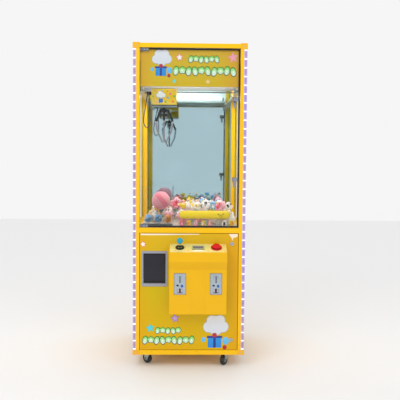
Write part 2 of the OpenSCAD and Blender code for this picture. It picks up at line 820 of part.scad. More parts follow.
module coin_button_left() color([0.1, 0.3, 0.8]) placed() coin_button(coin_xs[0]);
module coin_button_right() color([0.1, 0.3, 0.8]) placed() coin_button(coin_xs[1]);

// Joystick base and collar, push button housing and credit display
module deck_fittings() color(dark) placed() {
  on_deck(console_x - control_dx) {
    difference() {
      translate([-28, -28, -38]) cube([56, 56, 38 - sheet_t]);
      translate([0, 0, -38 - over]) cylinder(r = cavity_r, h = 60);
      translate([-cavity_r - 4, 0, gimbal_z]) rotate([0, 90, 0])
        cylinder(r = gimbal_pin_r + fit, h = 2 * cavity_r + 8);
    }
    difference() {
      cylinder(r = collar_r, h = collar_h);
      translate([0, 0, -over]) cylinder(r = collar_bore, h = collar_h + 2 * over);
    }
  }
  on_deck(console_x + control_dx) difference() {
    union() {
      translate([0, 0, -44]) cylinder(r = housing_r, h = 44 + over);
      cylinder(r = bezel_ring_r, h = bezel_ring_h);
    }
    translate([0, 0, -14]) cylinder(r = stem_r + 0.2, h = 14 + bezel_ring_h + over);
  }
  on_deck(console_x) {
    translate([-35, -21, 0]) cube([70, 42, 3]);
    translate([-32, -18, -14]) cube([64, 36, 14]);
  }
}

module joystick_gimbal() color("gray") placed() on_deck(console_x - control_dx) {
  difference() {
    translate([0, 0, gimbal_z - 4]) cylinder(r = ring_r, h = 8);
    translate([0, 0, gimbal_z - 4 - over]) cylinder(r = ring_r - 4, h = 8 + 2 * over);
    translate([0, ring_r + over, gimbal_z]) rotate([90, 0, 0])
      cylinder(r = gimbal_pin_r + fit, h = 2 * ring_r + 2 * over);
  }
  for (s = [0, 180]) rotate([0, 0, s]) translate([ring_r - 2, 0, gimbal_z]) rotate([0, 90, 0])
    cylinder(r = gimbal_pin_r, h = cavity_r - ring_r + 2 + 3.5);
}

module joystick_stick() color([0.1, 0.55, 0.6]) placed() on_deck(console_x - control_dx) {
  union() {
    translate([0, 0, gimbal_z - 13]) cylinder(r = shaft_r, h = ball_h - gimbal_z + 13);
    translate([0, 0, ball_h]) sphere(r = ball_r);
    translate([0, ring_r - 0.5, gimbal_z]) rotate([90, 0, 0])
      cylinder(r = gimbal_pin_r, h = 2 * ring_r - 1);
  }
}

module push_button() color([0.85, 0.05, 0.05]) placed() on_deck(console_x + control_dx) {
  dome_z = bezel_ring_h + button_travel + 0.5;
  dome_sphere = (dome_r * dome_r + dome_h * dome_h) / (2 * dome_h);
  union() {
    translate([0, 0, -8]) cylinder(r = stem_r, h = dome_z + 8 + over);
    intersection() {
      translate([0, 0, dome_z + dome_h - dome_sphere]) sphere(r = dome_sphere);
      translate([0, 0, dome_z]) cylinder(r = dome_r + 5, h = dome_h + 5);
    }
  }
}

// Pivot blocks inside the door's left edge, and the two lock barrels
module lower_fittings() color(steel) placed() {
  x0 = -half_open + door_gap + skin_t;
  for (top = [0, 1]) {
    edge = top == 1 ? lower_z1 - door_gap - skin_t : lower_z0 + door_gap + skin_t;
    pin_end = top == 1 ? lower_z1 + pivot_l : lower_z0 - pivot_l;
    union() {
      block(x0, x0 + 16, skin_t, flange_d - 2, min(edge, edge + (top == 1 ? -20 : 20)),
        max(edge, edge + (top == 1 ? -20 : 20)));
      rod_z(pivot_x, lower_pivot_y, min(edge, pin_end), max(edge, pin_end), pivot_r);
    }
  }
  for (z = lower_lock_zs) difference() {
    union() {
      rod_y(lower_lock_x, -5, 0, z, bezel_r);
      rod_y(lower_lock_x, 0, cam_y - 3, z, barrel_r);
    }
    rod_y(lower_lock_x, -5 - over, cam_y - 3 + over, z, plug_r + fit);
  }
}

module prize_frame() color([0.45, 0.47, 0.5]) placed() {
  difference() {
    union() {
      block(prize_x0, prize_x0 + prize_w, -3, 0, prize_z, prize_z + prize_h);
      block(prize_in_x0 - 2, prize_in_x1 + 2, 0, sleeve_d, prize_in_z0 - 2, prize_in_z1 + 2);
    }
    block(prize_in_x0, prize_in_x1, -3 - over, sleeve_d + over, prize_in_z0, prize_in_z1);
    rod_x(prize_in_x0 - 2 - over, prize_in_x1 + 2 + over, flap_pin_y, flap_pin_z,
      flap_pin_r + fit);
  }
}

module prize_flap() color(dark) placed() {
  gap = 1.5;
  union() {
    block(prize_in_x0 + gap, prize_in_x1 - gap, flap_y, flap_y + flap_t, prize_in_z0 + 3,
      flap_pin_z);
    rod_x(prize_in_x0 + gap, prize_in_x1 - gap, flap_pin_y, flap_pin_z, flap_pin_r + 1.5);
    rod_x(prize_in_x0 - 2, prize_in_x1 + 2, flap_pin_y, flap_pin_z, flap_pin_r);
  }
}

// Open-topped cash box standing on the base under the coin mechanisms
module cash_box() color(steel) placed() {
  x0 = console_x - 110;
  x1 = console_x + 110;
  y0 = post + 12;
  y1 = y0 + 180;
  z0 = foot_h + board_t;
  z1 = z0 + 150;
  union() {
    difference() {
      block(x0, x1, y0, y1, z0, z1);
      block(x0 + sheet_t, x1 - sheet_t, y0 + sheet_t, y1 - sheet_t, z0 + sheet_t, z1 + over);
    }
    block(console_x - 40, console_x + 40, y0 - 6, y0, z1 - 14, z1 - 10);
  }
}

// ---------- gantry ----------

module angle_beam(outward) {
  y0 = home_y + outward * beam_gap;
  y1 = home_y + outward * (beam_gap + ledge);
  y2 = home_y + outward * (beam_gap + ledge + track_t);
  union() {
    block(-end_plate_x, end_plate_x, min(y0, y2), max(y0, y2), beam_z0, beam_z0 + track_t);
    block(-end_plate_x, end_plate_x, min(y1, y2), max(y1, y2), beam_z0, beam_z0 + beam_h);
  }
}

// Two angle beams between two end plates, with guide shoes and the drive motor
module bridge_beam() color(steel) placed() {
  angle_beam(-1);
  angle_beam(1);
  shoe_y = home_y - 54;
  both_sides() difference() {
    union() {
      block(end_plate_x, end_plate_x + end_plate_t, home_y - 65, home_y + 90, run_z + 6,
        beam_z0 + beam_h + 4);
      block(end_plate_x + end_plate_t, wheel_x1, shoe_y, shoe_y + 30, run_z + slide_gap,
        run_z + 18);
    }
    rod_x(end_plate_x - over, end_plate_x + end_plate_t + over, axle_y, axle_z, axle_r + fit);
  }
  // tubular gear motor round the drive shaft at the left end
  difference() {
    union() {
      rod_x(-end_plate_x, -end_plate_x + 4, axle_y, axle_z, 13);
      rod_x(-end_plate_x + 4, -end_plate_x + 38, axle_y, axle_z, 18);
    }
    rod_x(-end_plate_x - over, -end_plate_x + 38 + over, axle_y, axle_z, axle_r + fit);
  }
  // clip that holds the spare lead on the left end plate
  block(-end_plate_x, -end_plate_x + 40, home_y - 46, home_y - 28,
    cable_from[2] + slide_gap, beam_z0);
}

module bridge_axle() color("silver") placed() {
  rod_x(-wheel_x1 - 2, wheel_x1 + 2, axle_y, axle_z, axle_r);
  both_sides() difference() {
    rod_x(wheel_x0, wheel_x1, axle_y, axle_z, bridge_wheel_r);
    rod_x(wheel_x0 - over, wheel_x1 + over, axle_y, axle_z, axle_r);
  }
}

// Points of a round section at a point of a route, square to the way it runs
function unit(v) = v / norm(v);
function heading(p, i) = unit(p[min(i + 1, len(p) - 1)] - p[max(i - 1, 0)]);
function ring(p, i, r, n) = let (h = heading(p, i), a = unit(cross(h, [0, 1, 0])), b = cross(h, a))
  [for (k = [0 : n - 1]) p[i] + r * (cos(360 * k / n) * a + sin(360 * k / n) * b)];

module bridge_cable() color([0.3, 0.28, 0.32]) placed() {
  n = cable_sides;
  last = len(cable_route) - 1;
  points = [for (i = [0 : last]) each ring(cable_route, i, cable_r, n)];
  walls = [for (i = [0 : last - 1], k = [0 : n - 1])
    [i * n + k, i * n + (k + 1) % n, (i + 1) * n + (k + 1) % n, (i + 1) * n + k]];
  start_cap = [[for (k = [0 : n - 1]) n - 1 - k]];
  end_cap = [[for (k = [0 : n - 1]) last * n + k]];
  translate(cable_from) polyhedron(points, concat(walls, start_cap, end_cap));
}

module trolley_frame() color("gray") placed() {
  cheek_y0 = home_y - 32;
  cheek_y1 = home_y + 32;
  neck_y0 = home_y - beam_gap + 4;
  neck_y1 = home_y + beam_gap - 4;
  cheek = [[cheek_y0, trolley_floor_z + 4], [cheek_y1, trolley_floor_z + 4],
    [cheek_y1, beam_z0 - 4], [neck_y1, beam_z0 - 4], [neck_y1, beam_z0 + 26],
    [neck_y0, beam_z0 + 26], [neck_y0, beam_z0 - 4], [cheek_y0, beam_z0 - 4]];
  // floor plate with the hole that the string and lead pass through
  difference() {
    block(trolley_x0, trolley_x1, trolley_y0, trolley_y1, trolley_floor_z, trolley_floor_z + 4);
    rod_z(trolley_x, home_y, trolley_floor_z - over, trolley_floor_z + 4 + over, 9);
  }
  difference() {
    union() for (x = [trolley_x - cheek_x, trolley_x + cheek_x - cheek_t])
      side_profile(x, x + cheek_t, cheek);
    rod_x(trolley_x0, trolley_x1, drum_y, drum_z, 3 + fit);
  }
  // cross plate over the cheeks, hangers for the drive axle and the guide shoes
  block(trolley_x - cheek_x, trolley_x + cheek_x, neck_y0, neck_y1, beam_z0 + 26, beam_z0 + 29);
  for (y = [neck_y0, neck_y1 - 6]) difference() {
    block(trolley_axle_x - 8, trolley_axle_x + 8, y, y + 6, beam_z0 - 4, beam_z0 + 26);
    rod_y(trolley_axle_x, y - over, y + 6 + over, trolley_axle_z, 3 + fit);
  }
  for (s = [-1, 1]) {
    y0 = home_y + s * (beam_gap - 4);
    y1 = home_y + s * (beam_gap + ledge - 3);
    block(trolley_x - 60, trolley_x - 40, min(y0, y1), max(y0, y1),
      beam_z0 + track_t + slide_gap, beam_z0 + track_t + 12);
    block(trolley_x - 60, trolley_x - 40, min(y0, y0 - s * 4), max(y0, y0 - s * 4),
      beam_z0 + track_t + slide_gap, beam_z0 + 26);
  }
  // hoist motor on the left cheek
  rod_x(trolley_x - cheek_x + cheek_t, trolley_x - drum_w / 2 - 8, drum_y, drum_z + 1, 17);
}

module trolley_cover() color(mustard) placed() {
  z0 = trolley_floor_z + 4;
  z1 = beam_z0 - 4;
  union() {
    block(trolley_x0, trolley_x1, trolley_y0, trolley_y0 + sheet_t, z0, z1);
    block(trolley_x0, trolley_x0 + sheet_t, trolley_y0, trolley_y1, z0, z1);
    block(trolley_x1 - sheet_t, trolley_x1, trolley_y0, trolley_y1, z0, z1);
  }
}

module trolley_axle() color("silver") placed() {
  reach = beam_gap + ledge - 3;
  rod_y(trolley_axle_x, home_y - reach, home_y + reach, trolley_axle_z, 3);
  for (y = [home_y - reach, home_y + beam_gap + 2]) difference() {
    rod_y(trolley_axle_x, y, y + ledge - 5, trolley_axle_z, trolley_wheel_r);
    rod_y(trolley_axle_x, y - over, y + ledge - 5 + over, trolley_axle_z, 3);
  }
}

module winch_spool() color("white") placed() {
  union() {
    rod_x(trolley_x - drum_w / 2, trolley_x + drum_w / 2, drum_y, drum_z, drum_r - 1);
    rod_x(trolley_x - drum_w / 2 - 3, trolley_x - drum_w / 2, drum_y, drum_z, drum_r + 5);
    rod_x(trolley_x + drum_w / 2, trolley_x + drum_w / 2 + 3, drum_y, drum_z, drum_r + 5);
    rod_x(trolley_x + drum_w / 2, trolley_x + cheek_x + 1, drum_y, drum_z, 3);
    rod_x(trolley_x - drum_w / 2 - 7, trolley_x - drum_w / 2, drum_y, drum_z, 3);
  }
}

// Hoist string between the drum and the claw's crown
module hoist_lines() color([0.85, 0.85, 0.8]) placed() {
  rod_z(trolley_x, home_y, crown_z + 14, drum_z, 1);
}

// ---------- claw ----------

module at_finger(i) {
  translate([trolley_x, home_y, 0]) rotate([0, 0, finger_angles[i]]) children();
}

// Coil housing with a crown that carries the three finger pivots
module claw_body() color(steel) placed() {
  difference() {
    union() {
      rod_z(trolley_x, home_y, crown_z - 5, crown_z + 5, 20);
      rod_z(trolley_x, home_y, crown_z - coil_h - 5, crown_z - 5, coil_r - 4);
      rod_z(trolley_x, home_y, crown_z + 5, crown_z + 14, 8);
      for (i = [0 : 2]) at_finger(i) for (s = [-1, 1])
        block(14, pivot_ring_r + 5, s * 8 - 2, s * 8 + 2, crown_z - 5, crown_z + 5);
    }
    for (i = [0 : 2]) at_finger(i)
      rod_y(pivot_ring_r, -14, 14, crown_z, finger_pin_r + fit);
    rod_z(trolley_x, home_y, crown_z - coil_h - 5 - over, crown_z - 12, rod_r + 0.3);
  }
}

module claw_plunger() color("silver") placed() {
  bottom = crown_z - coil_h - 40;
  union() {
    rod_z(trolley_x, home_y, bottom, crown_z - 24, rod_r);
    rod_z(trolley_x, home_y, bottom - 6, bottom, 12);
  }
}

// Side outline of one finger: upper arm out to the knee, then in and down to the tip
function finger_outline() = [
  [pivot_ring_r - 4, crown_z + 4], [pivot_ring_r + 4, crown_z + 4],
  [knee_r, knee_z + 2], [knee_r - 1, knee_z - 12],
  [knee_r - 10, crown_z - 0.66 * claw_h], [tip_r + 4, tip_z + 12], [tip_r + 2, tip_z],
  [tip_r - 2, tip_z], [tip_r, tip_z + 14], [knee_r - 16, crown_z - 0.64 * claw_h],
  [knee_r - 9, knee_z - 10], [knee_r - 10, knee_z - 1], [pivot_ring_r - 5, crown_z - 5]];

module claw_finger(i) color(dark) placed() at_finger(i) {
  union() {
    translate([0, finger_w / 2, 0]) rotate([90, 0, 0]) linear_extrude(finger_w)
      polygon(finger_outline());
    rod_y(pivot_ring_r, -12, 12, crown_z, finger_pin_r);
  }
}

module claw_finger_1() claw_finger(0);
module claw_finger_2() claw_finger(1);
module claw_finger_3() claw_finger(2);

// ---------- nodes ----------

cabinet_frame();
cover_panels();
side_windows();
mirror_panel();
prize_bed();
chute_guard();
prize_chute();
led_strips();
corner_caps();
lamp_housing();
lamp_tube();
gantry_rails();
electrics();
mains_inlet();
caster_plates();
plush_ball();
plush_bolster();
plush_animals();
door_glass();
door_trim();
marquee_panel();
door_fittings();
lower_door();
console();
coin_selectors();
deck_fittings();
lower_fittings();
prize_frame();
prize_flap();
coin_button_left();
coin_button_right();
joystick_gimbal();
joystick_stick();
push_button();
cash_box();
bridge_beam();
bridge_axle();
bridge_cable();
trolley_frame();
trolley_cover();
trolley_axle();
winch_spool();
hoist_lines();
claw_body();
claw_plunger();
claw_finger_1();
claw_finger_2();
claw_finger_3();
lock_window_upper();
lock_window_lower();
lock_door_upper();
lock_door_lower();
caster_fork_1();
caster_fork_2();
caster_fork_3();
caster_fork_4();
caster_wheel_1();
caster_wheel_2();
caster_wheel_3();
caster_wheel_4();
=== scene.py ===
"""Claw crane machine: glass, light, print, plush and metal dressed round its CAD frame.

Every object is in metres in the frame's own axes: +Z up, the front towards -Y and +X
to the right of someone playing. Sizes that repeat the design are in millimetres, with
depth counted from the cabinet's front plane towards the rear.
"""

import logging
import math
import random
from dataclasses import dataclass, field
from enum import Enum
from typing import Sequence

import bmesh
import bpy
from mathutils import Matrix, Vector


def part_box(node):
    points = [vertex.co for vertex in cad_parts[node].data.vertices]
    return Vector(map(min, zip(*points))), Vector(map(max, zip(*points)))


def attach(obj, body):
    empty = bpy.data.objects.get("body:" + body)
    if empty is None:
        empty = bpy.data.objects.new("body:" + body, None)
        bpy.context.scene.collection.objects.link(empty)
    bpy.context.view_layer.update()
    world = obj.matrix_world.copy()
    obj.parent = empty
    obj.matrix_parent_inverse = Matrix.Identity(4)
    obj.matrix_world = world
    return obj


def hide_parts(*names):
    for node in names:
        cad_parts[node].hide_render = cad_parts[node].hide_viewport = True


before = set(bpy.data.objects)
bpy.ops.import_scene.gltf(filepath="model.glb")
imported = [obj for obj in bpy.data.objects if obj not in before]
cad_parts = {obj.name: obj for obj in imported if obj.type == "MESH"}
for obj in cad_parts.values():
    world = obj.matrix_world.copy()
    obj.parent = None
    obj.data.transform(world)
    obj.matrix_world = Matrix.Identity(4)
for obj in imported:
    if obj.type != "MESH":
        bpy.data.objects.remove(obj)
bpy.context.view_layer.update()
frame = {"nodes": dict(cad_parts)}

LOG = logging.getLogger("claw_machine")
MM = 0.001
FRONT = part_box("cabinet_frame")[0].y
LOCK_HALF_W = 7
LOCK_RISE = 8

Colour = tuple[float, float, float]
Point = tuple[float, float, float]
Outline = Sequence[tuple[float, float]]


def rgb(red: int, green: int, blue: int) -> Colour:
    """Linear colour of three display levels from 0 to 255."""
    levels = (level / 255 for level in (red, green, blue))
    return tuple(v / 12.92 if v <= 0.04045 else ((v + 0.055) / 1.055) ** 2.4 for v in levels)


def place(x: float, depth: float, z: float) -> Vector:
    """Point of the shared frame, from millimetres behind the cabinet's front plane."""
    return Vector((x * MM, FRONT + depth * MM, z * MM))


@dataclass(frozen=True)
class Extent:
    """Box round a frame node, in millimetres behind the cabinet's front plane."""

    x0: float
    x1: float
    near: float
    far: float
    low: float
    high: float


def extent(node: str) -> Extent:
    """Box of a frame node.

    Args:
        node: The node's name.

    Returns:
        Its box, to a hundredth of a millimetre.
    """
    first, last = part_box(node)
    sides = (first.x, last.x, first.y - FRONT, last.y - FRONT, first.z, last.z)
    return Extent(*(round(side / MM, 2) for side in sides))


# ---------- shader graph ----------


class Value:
    """An output socket on which Python arithmetic adds Math nodes."""

    def __init__(self, graph: "Graph", socket: bpy.types.NodeSocket) -> None:
        """Keeps the socket and the graph that it belongs to."""
        self.graph = graph
        self.socket = socket

    def math(self, operation: str, *others: "Value | float") -> "Value":
        """Result of one Math node, with this value as its first operand."""
        operands = dict(enumerate((self, *others)))
        return self.graph.value("ShaderNodeMath", {"operation": operation}, operands)

    def _after(self, operation: str, first: float) -> "Value":
        """Result of an operation on a number and this value, in that order."""
        inputs = {0: first, 1: self}
        return self.graph.value("ShaderNodeMath", {"operation": operation}, inputs)

    def __add__(self, other: "Value | float") -> "Value":
        """Sum."""
        return self.math("ADD", other)

    __radd__ = __add__

    def __sub__(self, other: "Value | float") -> "Value":
        """Difference."""
        return self.math("SUBTRACT", other)

    def __rsub__(self, other: float) -> "Value":
        """Difference from a number."""
        return self._after("SUBTRACT", other)

    def __mul__(self, other: "Value | float") -> "Value":
        """Product."""
        return self.math("MULTIPLY", other)

    __rmul__ = __mul__

    def __truediv__(self, other: "Value | float") -> "Value":
        """Quotient."""
        return self.math("DIVIDE", other)

    def __rtruediv__(self, other: float) -> "Value":
        """A number divided by this value."""
        return self._after("DIVIDE", other)

    def __gt__(self, other: "Value | float") -> "Value":
        """1 where this value is the larger, else 0."""
        return self.math("GREATER_THAN", other)

    def __mod__(self, other: float) -> "Value":
        """Remainder that is never negative."""
        return self.math("FLOORED_MODULO", other)

    def __abs__(self) -> "Value":
        """Distance from zero."""
        return self.math("ABSOLUTE")

    def step(self, start: float, end: float) -> "Value":
        """0 before start, 1 after end, and smooth between them.

        Args:
            start: Where it leaves 0.
            end: Where it reaches 1.

        Returns:
            The smooth step.
        """
        settings = {"interpolation_type": "SMOOTHSTEP"}
        inputs = {"Value": self, "From Min": start, "From Max": end}
        return self.graph.value("ShaderNodeMapRange", settings, inputs)


class Graph:
    """The node tree of one material, with one Principled shader at its end."""

    def __init__(self, name: str) -> None:
        """Makes an empty material.

        Args:
            name: The material's name.
        """
        self.material = bpy.data.materials.new(name)
        self.material.use_nodes = True
        self.tree = self.material.node_tree
        self.tree.nodes.clear()

    def node(self, kind: str, settings: dict | None = None,
             inputs: dict | None = None) -> bpy.types.Node:
        """Adds a node, sets it up, then fills its sockets.

        Args:
            kind: The node's type.
            settings: Its properties; "stops" gives a colour ramp's stops.
            inputs: Numbers, colours or values by socket name or index.

        Returns:
            The node.
        """
        made = self.tree.nodes.new(kind)
        for name, setting in (settings or {}).items():
            if name == "stops":
                elements = made.color_ramp.elements
                while len(elements) < len(setting):
                    elements.new(1.0)
                for element, (position, colour) in zip(elements, setting):
                    element.position = position
                    element.color = (*colour, 1.0)
            else:
                setattr(made, name, setting)
        for key, given in (inputs or {}).items():
            if isinstance(given, Value):
                self.tree.links.new(given.socket, made.inputs[key])
            else:
                made.inputs[key].default_value = given
        return made

    def value(self, kind: str, settings: dict | None = None, inputs: dict | None = None,
              output: int | str = 0) -> Value:
        """Adds a node and gives one of its outputs."""
        return Value(self, self.node(kind, settings, inputs).outputs[output])

    def spot(self, stretch: Point = (1.0, 1.0, 1.0)) -> Value:
        """Place on the object in metres, stretched along its axes.

        Args:
            stretch: Factor on each coordinate.

        Returns:
            The vector.
        """
        where = self.value("ShaderNodeTexCoord", output="Object")
        if stretch == (1.0, 1.0, 1.0):
            return where
        settings = {"operation": "MULTIPLY"}
        return self.value("ShaderNodeVectorMath", settings, {0: where, 1: stretch})

    def axes(self, vector: Value) -> tuple[Value, Value, Value]:
        """The three coordinates of a vector."""
        split = self.node("ShaderNodeSeparateXYZ", None, {0: vector})
        return tuple(Value(self, out) for out in split.outputs)

    def noise(self, scale: float, detail: float = 3.0, stretch: Point = (1.0, 1.0, 1.0),
              roughness: float = 0.5) -> Value:
        """Noise from 0 to 1 over the surface.

        Args:
            scale: Cells to the metre.
            detail: Octaves.
            stretch: Factor on each coordinate.
            roughness: Weight of the finer octaves.

        Returns:
            The noise value.
        """
        inputs = {"Vector": self.spot(stretch), "Scale": scale, "Detail": detail,
                  "Roughness": roughness}
        return self.value("ShaderNodeTexNoise", None, inputs)

    def cells(self, scale: float, feature: str = "F1") -> Value:
        """Distance to the nearest cell point or edge of a Voronoi pattern."""
        return self.value("ShaderNodeTexVoronoi", {"feature": feature},
                          {"Vector": self.spot(), "Scale": scale}, "Distance")

    def mix(self, factor: Value | float, low: Value | Colour, high: Value | Colour) -> Value:
        """Colour between two colours.

        Args:
            factor: 0 for the low colour, 1 for the high one.
            low: First colour.
            high: Second colour.

        Returns:
            The mixed colour.
        """
        pair = [(*c, 1.0) if isinstance(c, tuple) else c for c in (low, high)]
        return self.value("ShaderNodeMix", {"data_type": "RGBA"},
                          {0: factor, 6: pair[0], 7: pair[1]}, 2)

    def ramp(self, factor: Value, *stops: tuple[float, Colour]) -> Value:
        """Colour of a ramp with the given stops."""
        return self.value("ShaderNodeValToRGB", {"stops": stops}, {0: factor})

    def bump(self, height: Value, distance: float, strength: float = 1.0) -> Value:
        """Normal of a height, with its distance in metres."""
        inputs = {"Height": height, "Distance": distance, "Strength": strength}
        return self.value("ShaderNodeBump", None, inputs)

    def finish(self, sockets: dict) -> bpy.types.Material:
        """Adds the shader and the output.

        Args:
            sockets: The Principled shader's sockets by name.

        Returns:
            The finished material.
        """
        filled = {k: (*v, 1.0) if isinstance(v, tuple) and len(v) == 3 else v
                  for k, v in sockets.items()}
        shader = self.value("ShaderNodeBsdfPrincipled", None, filled)
        self.node("ShaderNodeOutputMaterial", None, {"Surface": shader})
        return self.material


@dataclass(frozen=True)
class Finish:
    """A surface finish that makes its material once."""

    name: str
    colour: Colour = (0.8, 0.8, 0.8)

    def sockets(self, graph: Graph) -> dict:
        """The shader's sockets; each finish gives its own."""
        raise NotImplementedError

    def material(self) -> bpy.types.Material:
        """The material of this finish, made when it is first asked for.

        Returns:
            The material, whose name can't meet a frame slot's.
        """
        known = bpy.data.materials.get(self.name + "_finish")
        if known is not None:
            return known
        graph = Graph(self.name + "_finish")
        return graph.finish(self.sockets(graph))


def scaled(colour: Colour, factor: float) -> Colour:
    """A colour made darker or lighter, kept below white."""
    return tuple(min(channel * factor, 1.0) for channel in colour)


@dataclass(frozen=True)
class Paint(Finish):
    """Gloss powder coat with fine orange peel, faint dust and scuffs near the floor."""

    roughness: float = 0.28
    coat: float = 0.1
    peel: float = 0.00012

    def sockets(self, graph: Graph) -> dict:
        """Mottled colour, uneven gloss and orange peel.

        Args:
            graph: The material's nodes.

        Returns:
            The shader's sockets by name.
        """
        mottle = graph.noise(5.0, 4.0)
        height = graph.axes(graph.spot())[2]
        scuff = graph.noise(38.0, 6.0, (1, 1, 2.5)).step(0.60, 0.72) * (1 - height.step(0.1, 0.35))
        paint = graph.mix(mottle, scaled(self.colour, 0.95), scaled(self.colour, 1.05))
        worn = graph.mix(scuff * 0.35, paint, scaled(self.colour, 0.45))
        rough = self.roughness + graph.noise(60.0, 3.0) * 0.08 + scuff * 0.2
        return {"Base Color": worn, "Roughness": rough, "Coat Weight": self.coat,
                "Coat Roughness": 0.12, "Specular IOR Level": 0.25,
                "Normal": graph.bump(graph.noise(420.0, 1.0), self.peel)}


@dataclass(frozen=True)
class Print(Finish):
    """Glossy printed sheet whose ink runs through three colours down its height."""

    middle: Colour = (0.8, 0.8, 0.8)
    bottom: Colour = (0.8, 0.8, 0.8)
    low: float = 0.0
    high: float = 1.0
    side: Colour = (0.8, 0.8, 0.8)
    side_at: float = 0.3
    roughness: float = 0.22

    def sockets(self, graph: Graph) -> dict:
        """A vertical blend that shifts to the side colour at both edges.

        Args:
            graph: The material's nodes.

        Returns:
            The shader's sockets by name.
        """
        x, _, z = graph.axes(graph.spot())
        drift = (graph.noise(2.2, 3.0) - 0.5) * 0.45
        level = (z - self.low) / (self.high - self.low) + drift
        body = graph.ramp(level, (0.0, self.bottom), (0.5, self.middle), (1.0, self.colour))
        edge = abs(x + 0.02).step(self.side_at * 0.55, self.side_at)
        ink = graph.mix(edge * 0.75, body, self.side)
        dotted = graph.mix(graph.cells(900.0).step(0.3, 0.8) * 0.12, ink, scaled(self.side, 0.8))
        rough = self.roughness + graph.noise(45.0, 3.0) * 0.08
        return {"Base Color": dotted, "Roughness": rough, "Coat Weight": 0.15,
                "Coat Roughness": 0.1, "Specular IOR Level": 0.15,
                "Normal": graph.bump(graph.noise(300.0, 1.0), 0.00006)}


@dataclass(frozen=True)
class Ink(Finish):
    """A printed motif whose colour changes from its bottom to its top."""

    bottom: Colour = (0.8, 0.8, 0.8)
    low: float = 0.0
    high: float = 1.0

    def sockets(self, graph: Graph) -> dict:
        """Vertical blend with a slightly uneven ink film.

        Args:
            graph: The material's nodes.

        Returns:
            The shader's sockets by name.
        """
        z = graph.axes(graph.spot())[2]
        level = z.step(self.low, self.high) + (graph.noise(90.0, 2.0) - 0.5) * 0.08
        return {"Base Color": graph.mix(level, self.bottom, self.colour),
                "Roughness": 0.25 + graph.noise(70.0) * 0.1, "Coat Weight": 0.25,
                "Normal": graph.bump(graph.noise(500.0, 1.0), 0.00004)}


@dataclass(frozen=True)
class Metal(Finish):
    """Bare or plated metal with fine marks along one direction."""

    roughness: float = 0.2
    grain: Point = (1.0, 1.0, 1.0)
    streak: float = 0.12
    marks: float = 0.00004

    def sockets(self, graph: Graph) -> dict:
        """Streaked gloss, faint tarnish and fine scratches.

        Args:
            graph: The material's nodes.

        Returns:
            The shader's sockets by name.
        """
        streaks = graph.noise(260.0, 4.0, self.grain)
        tarnish = graph.noise(24.0, 5.0).step(0.45, 0.8)
        shade = graph.mix(tarnish * 0.4 + streaks * 0.25, self.colour, scaled(self.colour, 0.72))
        return {"Base Color": shade, "Metallic": 1.0,
                "Roughness": self.roughness + streaks * self.streak + tarnish * 0.08,
                "Normal": graph.bump(streaks, self.marks)}


@dataclass(frozen=True)
class Sleeved(Metal):
    """Bright metal below a height, black sleeve above it."""

    above: float = 1.0

    def sockets(self, graph: Graph) -> dict:
        """The metal's own sockets, with the sleeve laid over them.

        Args:
            graph: The material's nodes.

        Returns:
            The shader's sockets by name.
        """
        made = super().sockets(graph)
        mask = graph.axes(graph.spot())[2] > self.above
        made["Base Color"] = graph.mix(mask, made["Base Color"], rgb(16, 16, 18))
        made["Metallic"] = 1 - mask
        made["Roughness"] = made["Roughness"] + mask * 0.25
        return made


@dataclass(frozen=True)
class Plastic(Finish):
    """Moulded plastic with a fine grain."""

    roughness: float = 0.35
    coat: float = 0.0
    grain: float = 0.00008

    def sockets(self, graph: Graph) -> dict:
        """Even colour with slight flow marks and a moulded grain.

        Args:
            graph: The material's nodes.

        Returns:
            The shader's sockets by name.
        """
        flow = graph.noise(14.0, 4.0)
        return {"Base Color": graph.mix(flow, scaled(self.colour, 0.9), scaled(self.colour, 1.1)),
                "Roughness": self.roughness + graph.noise(90.0) * 0.12, "Coat Weight": self.coat,
                "Coat Roughness": 0.05, "Specular IOR Level": 0.35,
                "Normal": graph.bump(graph.noise(900.0, 2.0), self.grain)}


@dataclass(frozen=True)
class Glow(Finish):
    """Translucent plastic lit from inside."""

    strength: float = 1.0

    def sockets(self, graph: Graph) -> dict:
        """Steady light with a slightly uneven diffuser.

        Args:
            graph: The material's nodes.

        Returns:
            The shader's sockets by name.
        """
        cloud = graph.noise(30.0, 2.0)
        lit = graph.mix(cloud, scaled(self.colour, 0.9), self.colour)
        return {"Base Color": lit, "Emission Color": lit, "Emission Strength": self.strength,
                "Roughness": 0.3 + cloud * 0.1}


@dataclass(frozen=True)
class LightStrip(Finish):
    """Clear light strip with a bright spot at every lamp and dim lilac between them."""

    pitch: float = 0.0505
    phase: float = 0.012

    def sockets(self, graph: Graph) -> dict:
        """Spots at an even pitch up the strip.

        Args:
            graph: The material's nodes.

        Returns:
            The shader's sockets by name.
        """
        x, _, z = graph.axes(graph.spot())
        near = abs((z + self.phase) % self.pitch - self.pitch / 2) / (self.pitch / 2)
        spot = 1 - near.step(0.03, 0.12)
        halo = 1 - near.step(0.1, 0.8)
        board = 1 - abs(abs(x) - 0.323).step(0.0015, 0.004)
        drift = graph.noise(9.0, 3.0)
        lilac = graph.mix(drift, rgb(146, 130, 214), rgb(186, 168, 224))
        tinted = graph.mix(board * 0.8, lilac, rgb(160, 122, 112))
        lit = graph.mix(halo * 0.3, tinted, rgb(206, 196, 244))
        colour = graph.mix(spot, lit, (1.0, 1.0, 1.0))
        return {"Base Color": colour, "Emission Color": colour, "Emission Strength": 0.12,
                "Roughness": 0.12 + drift * 0.08, "Coat Weight": 0.4}


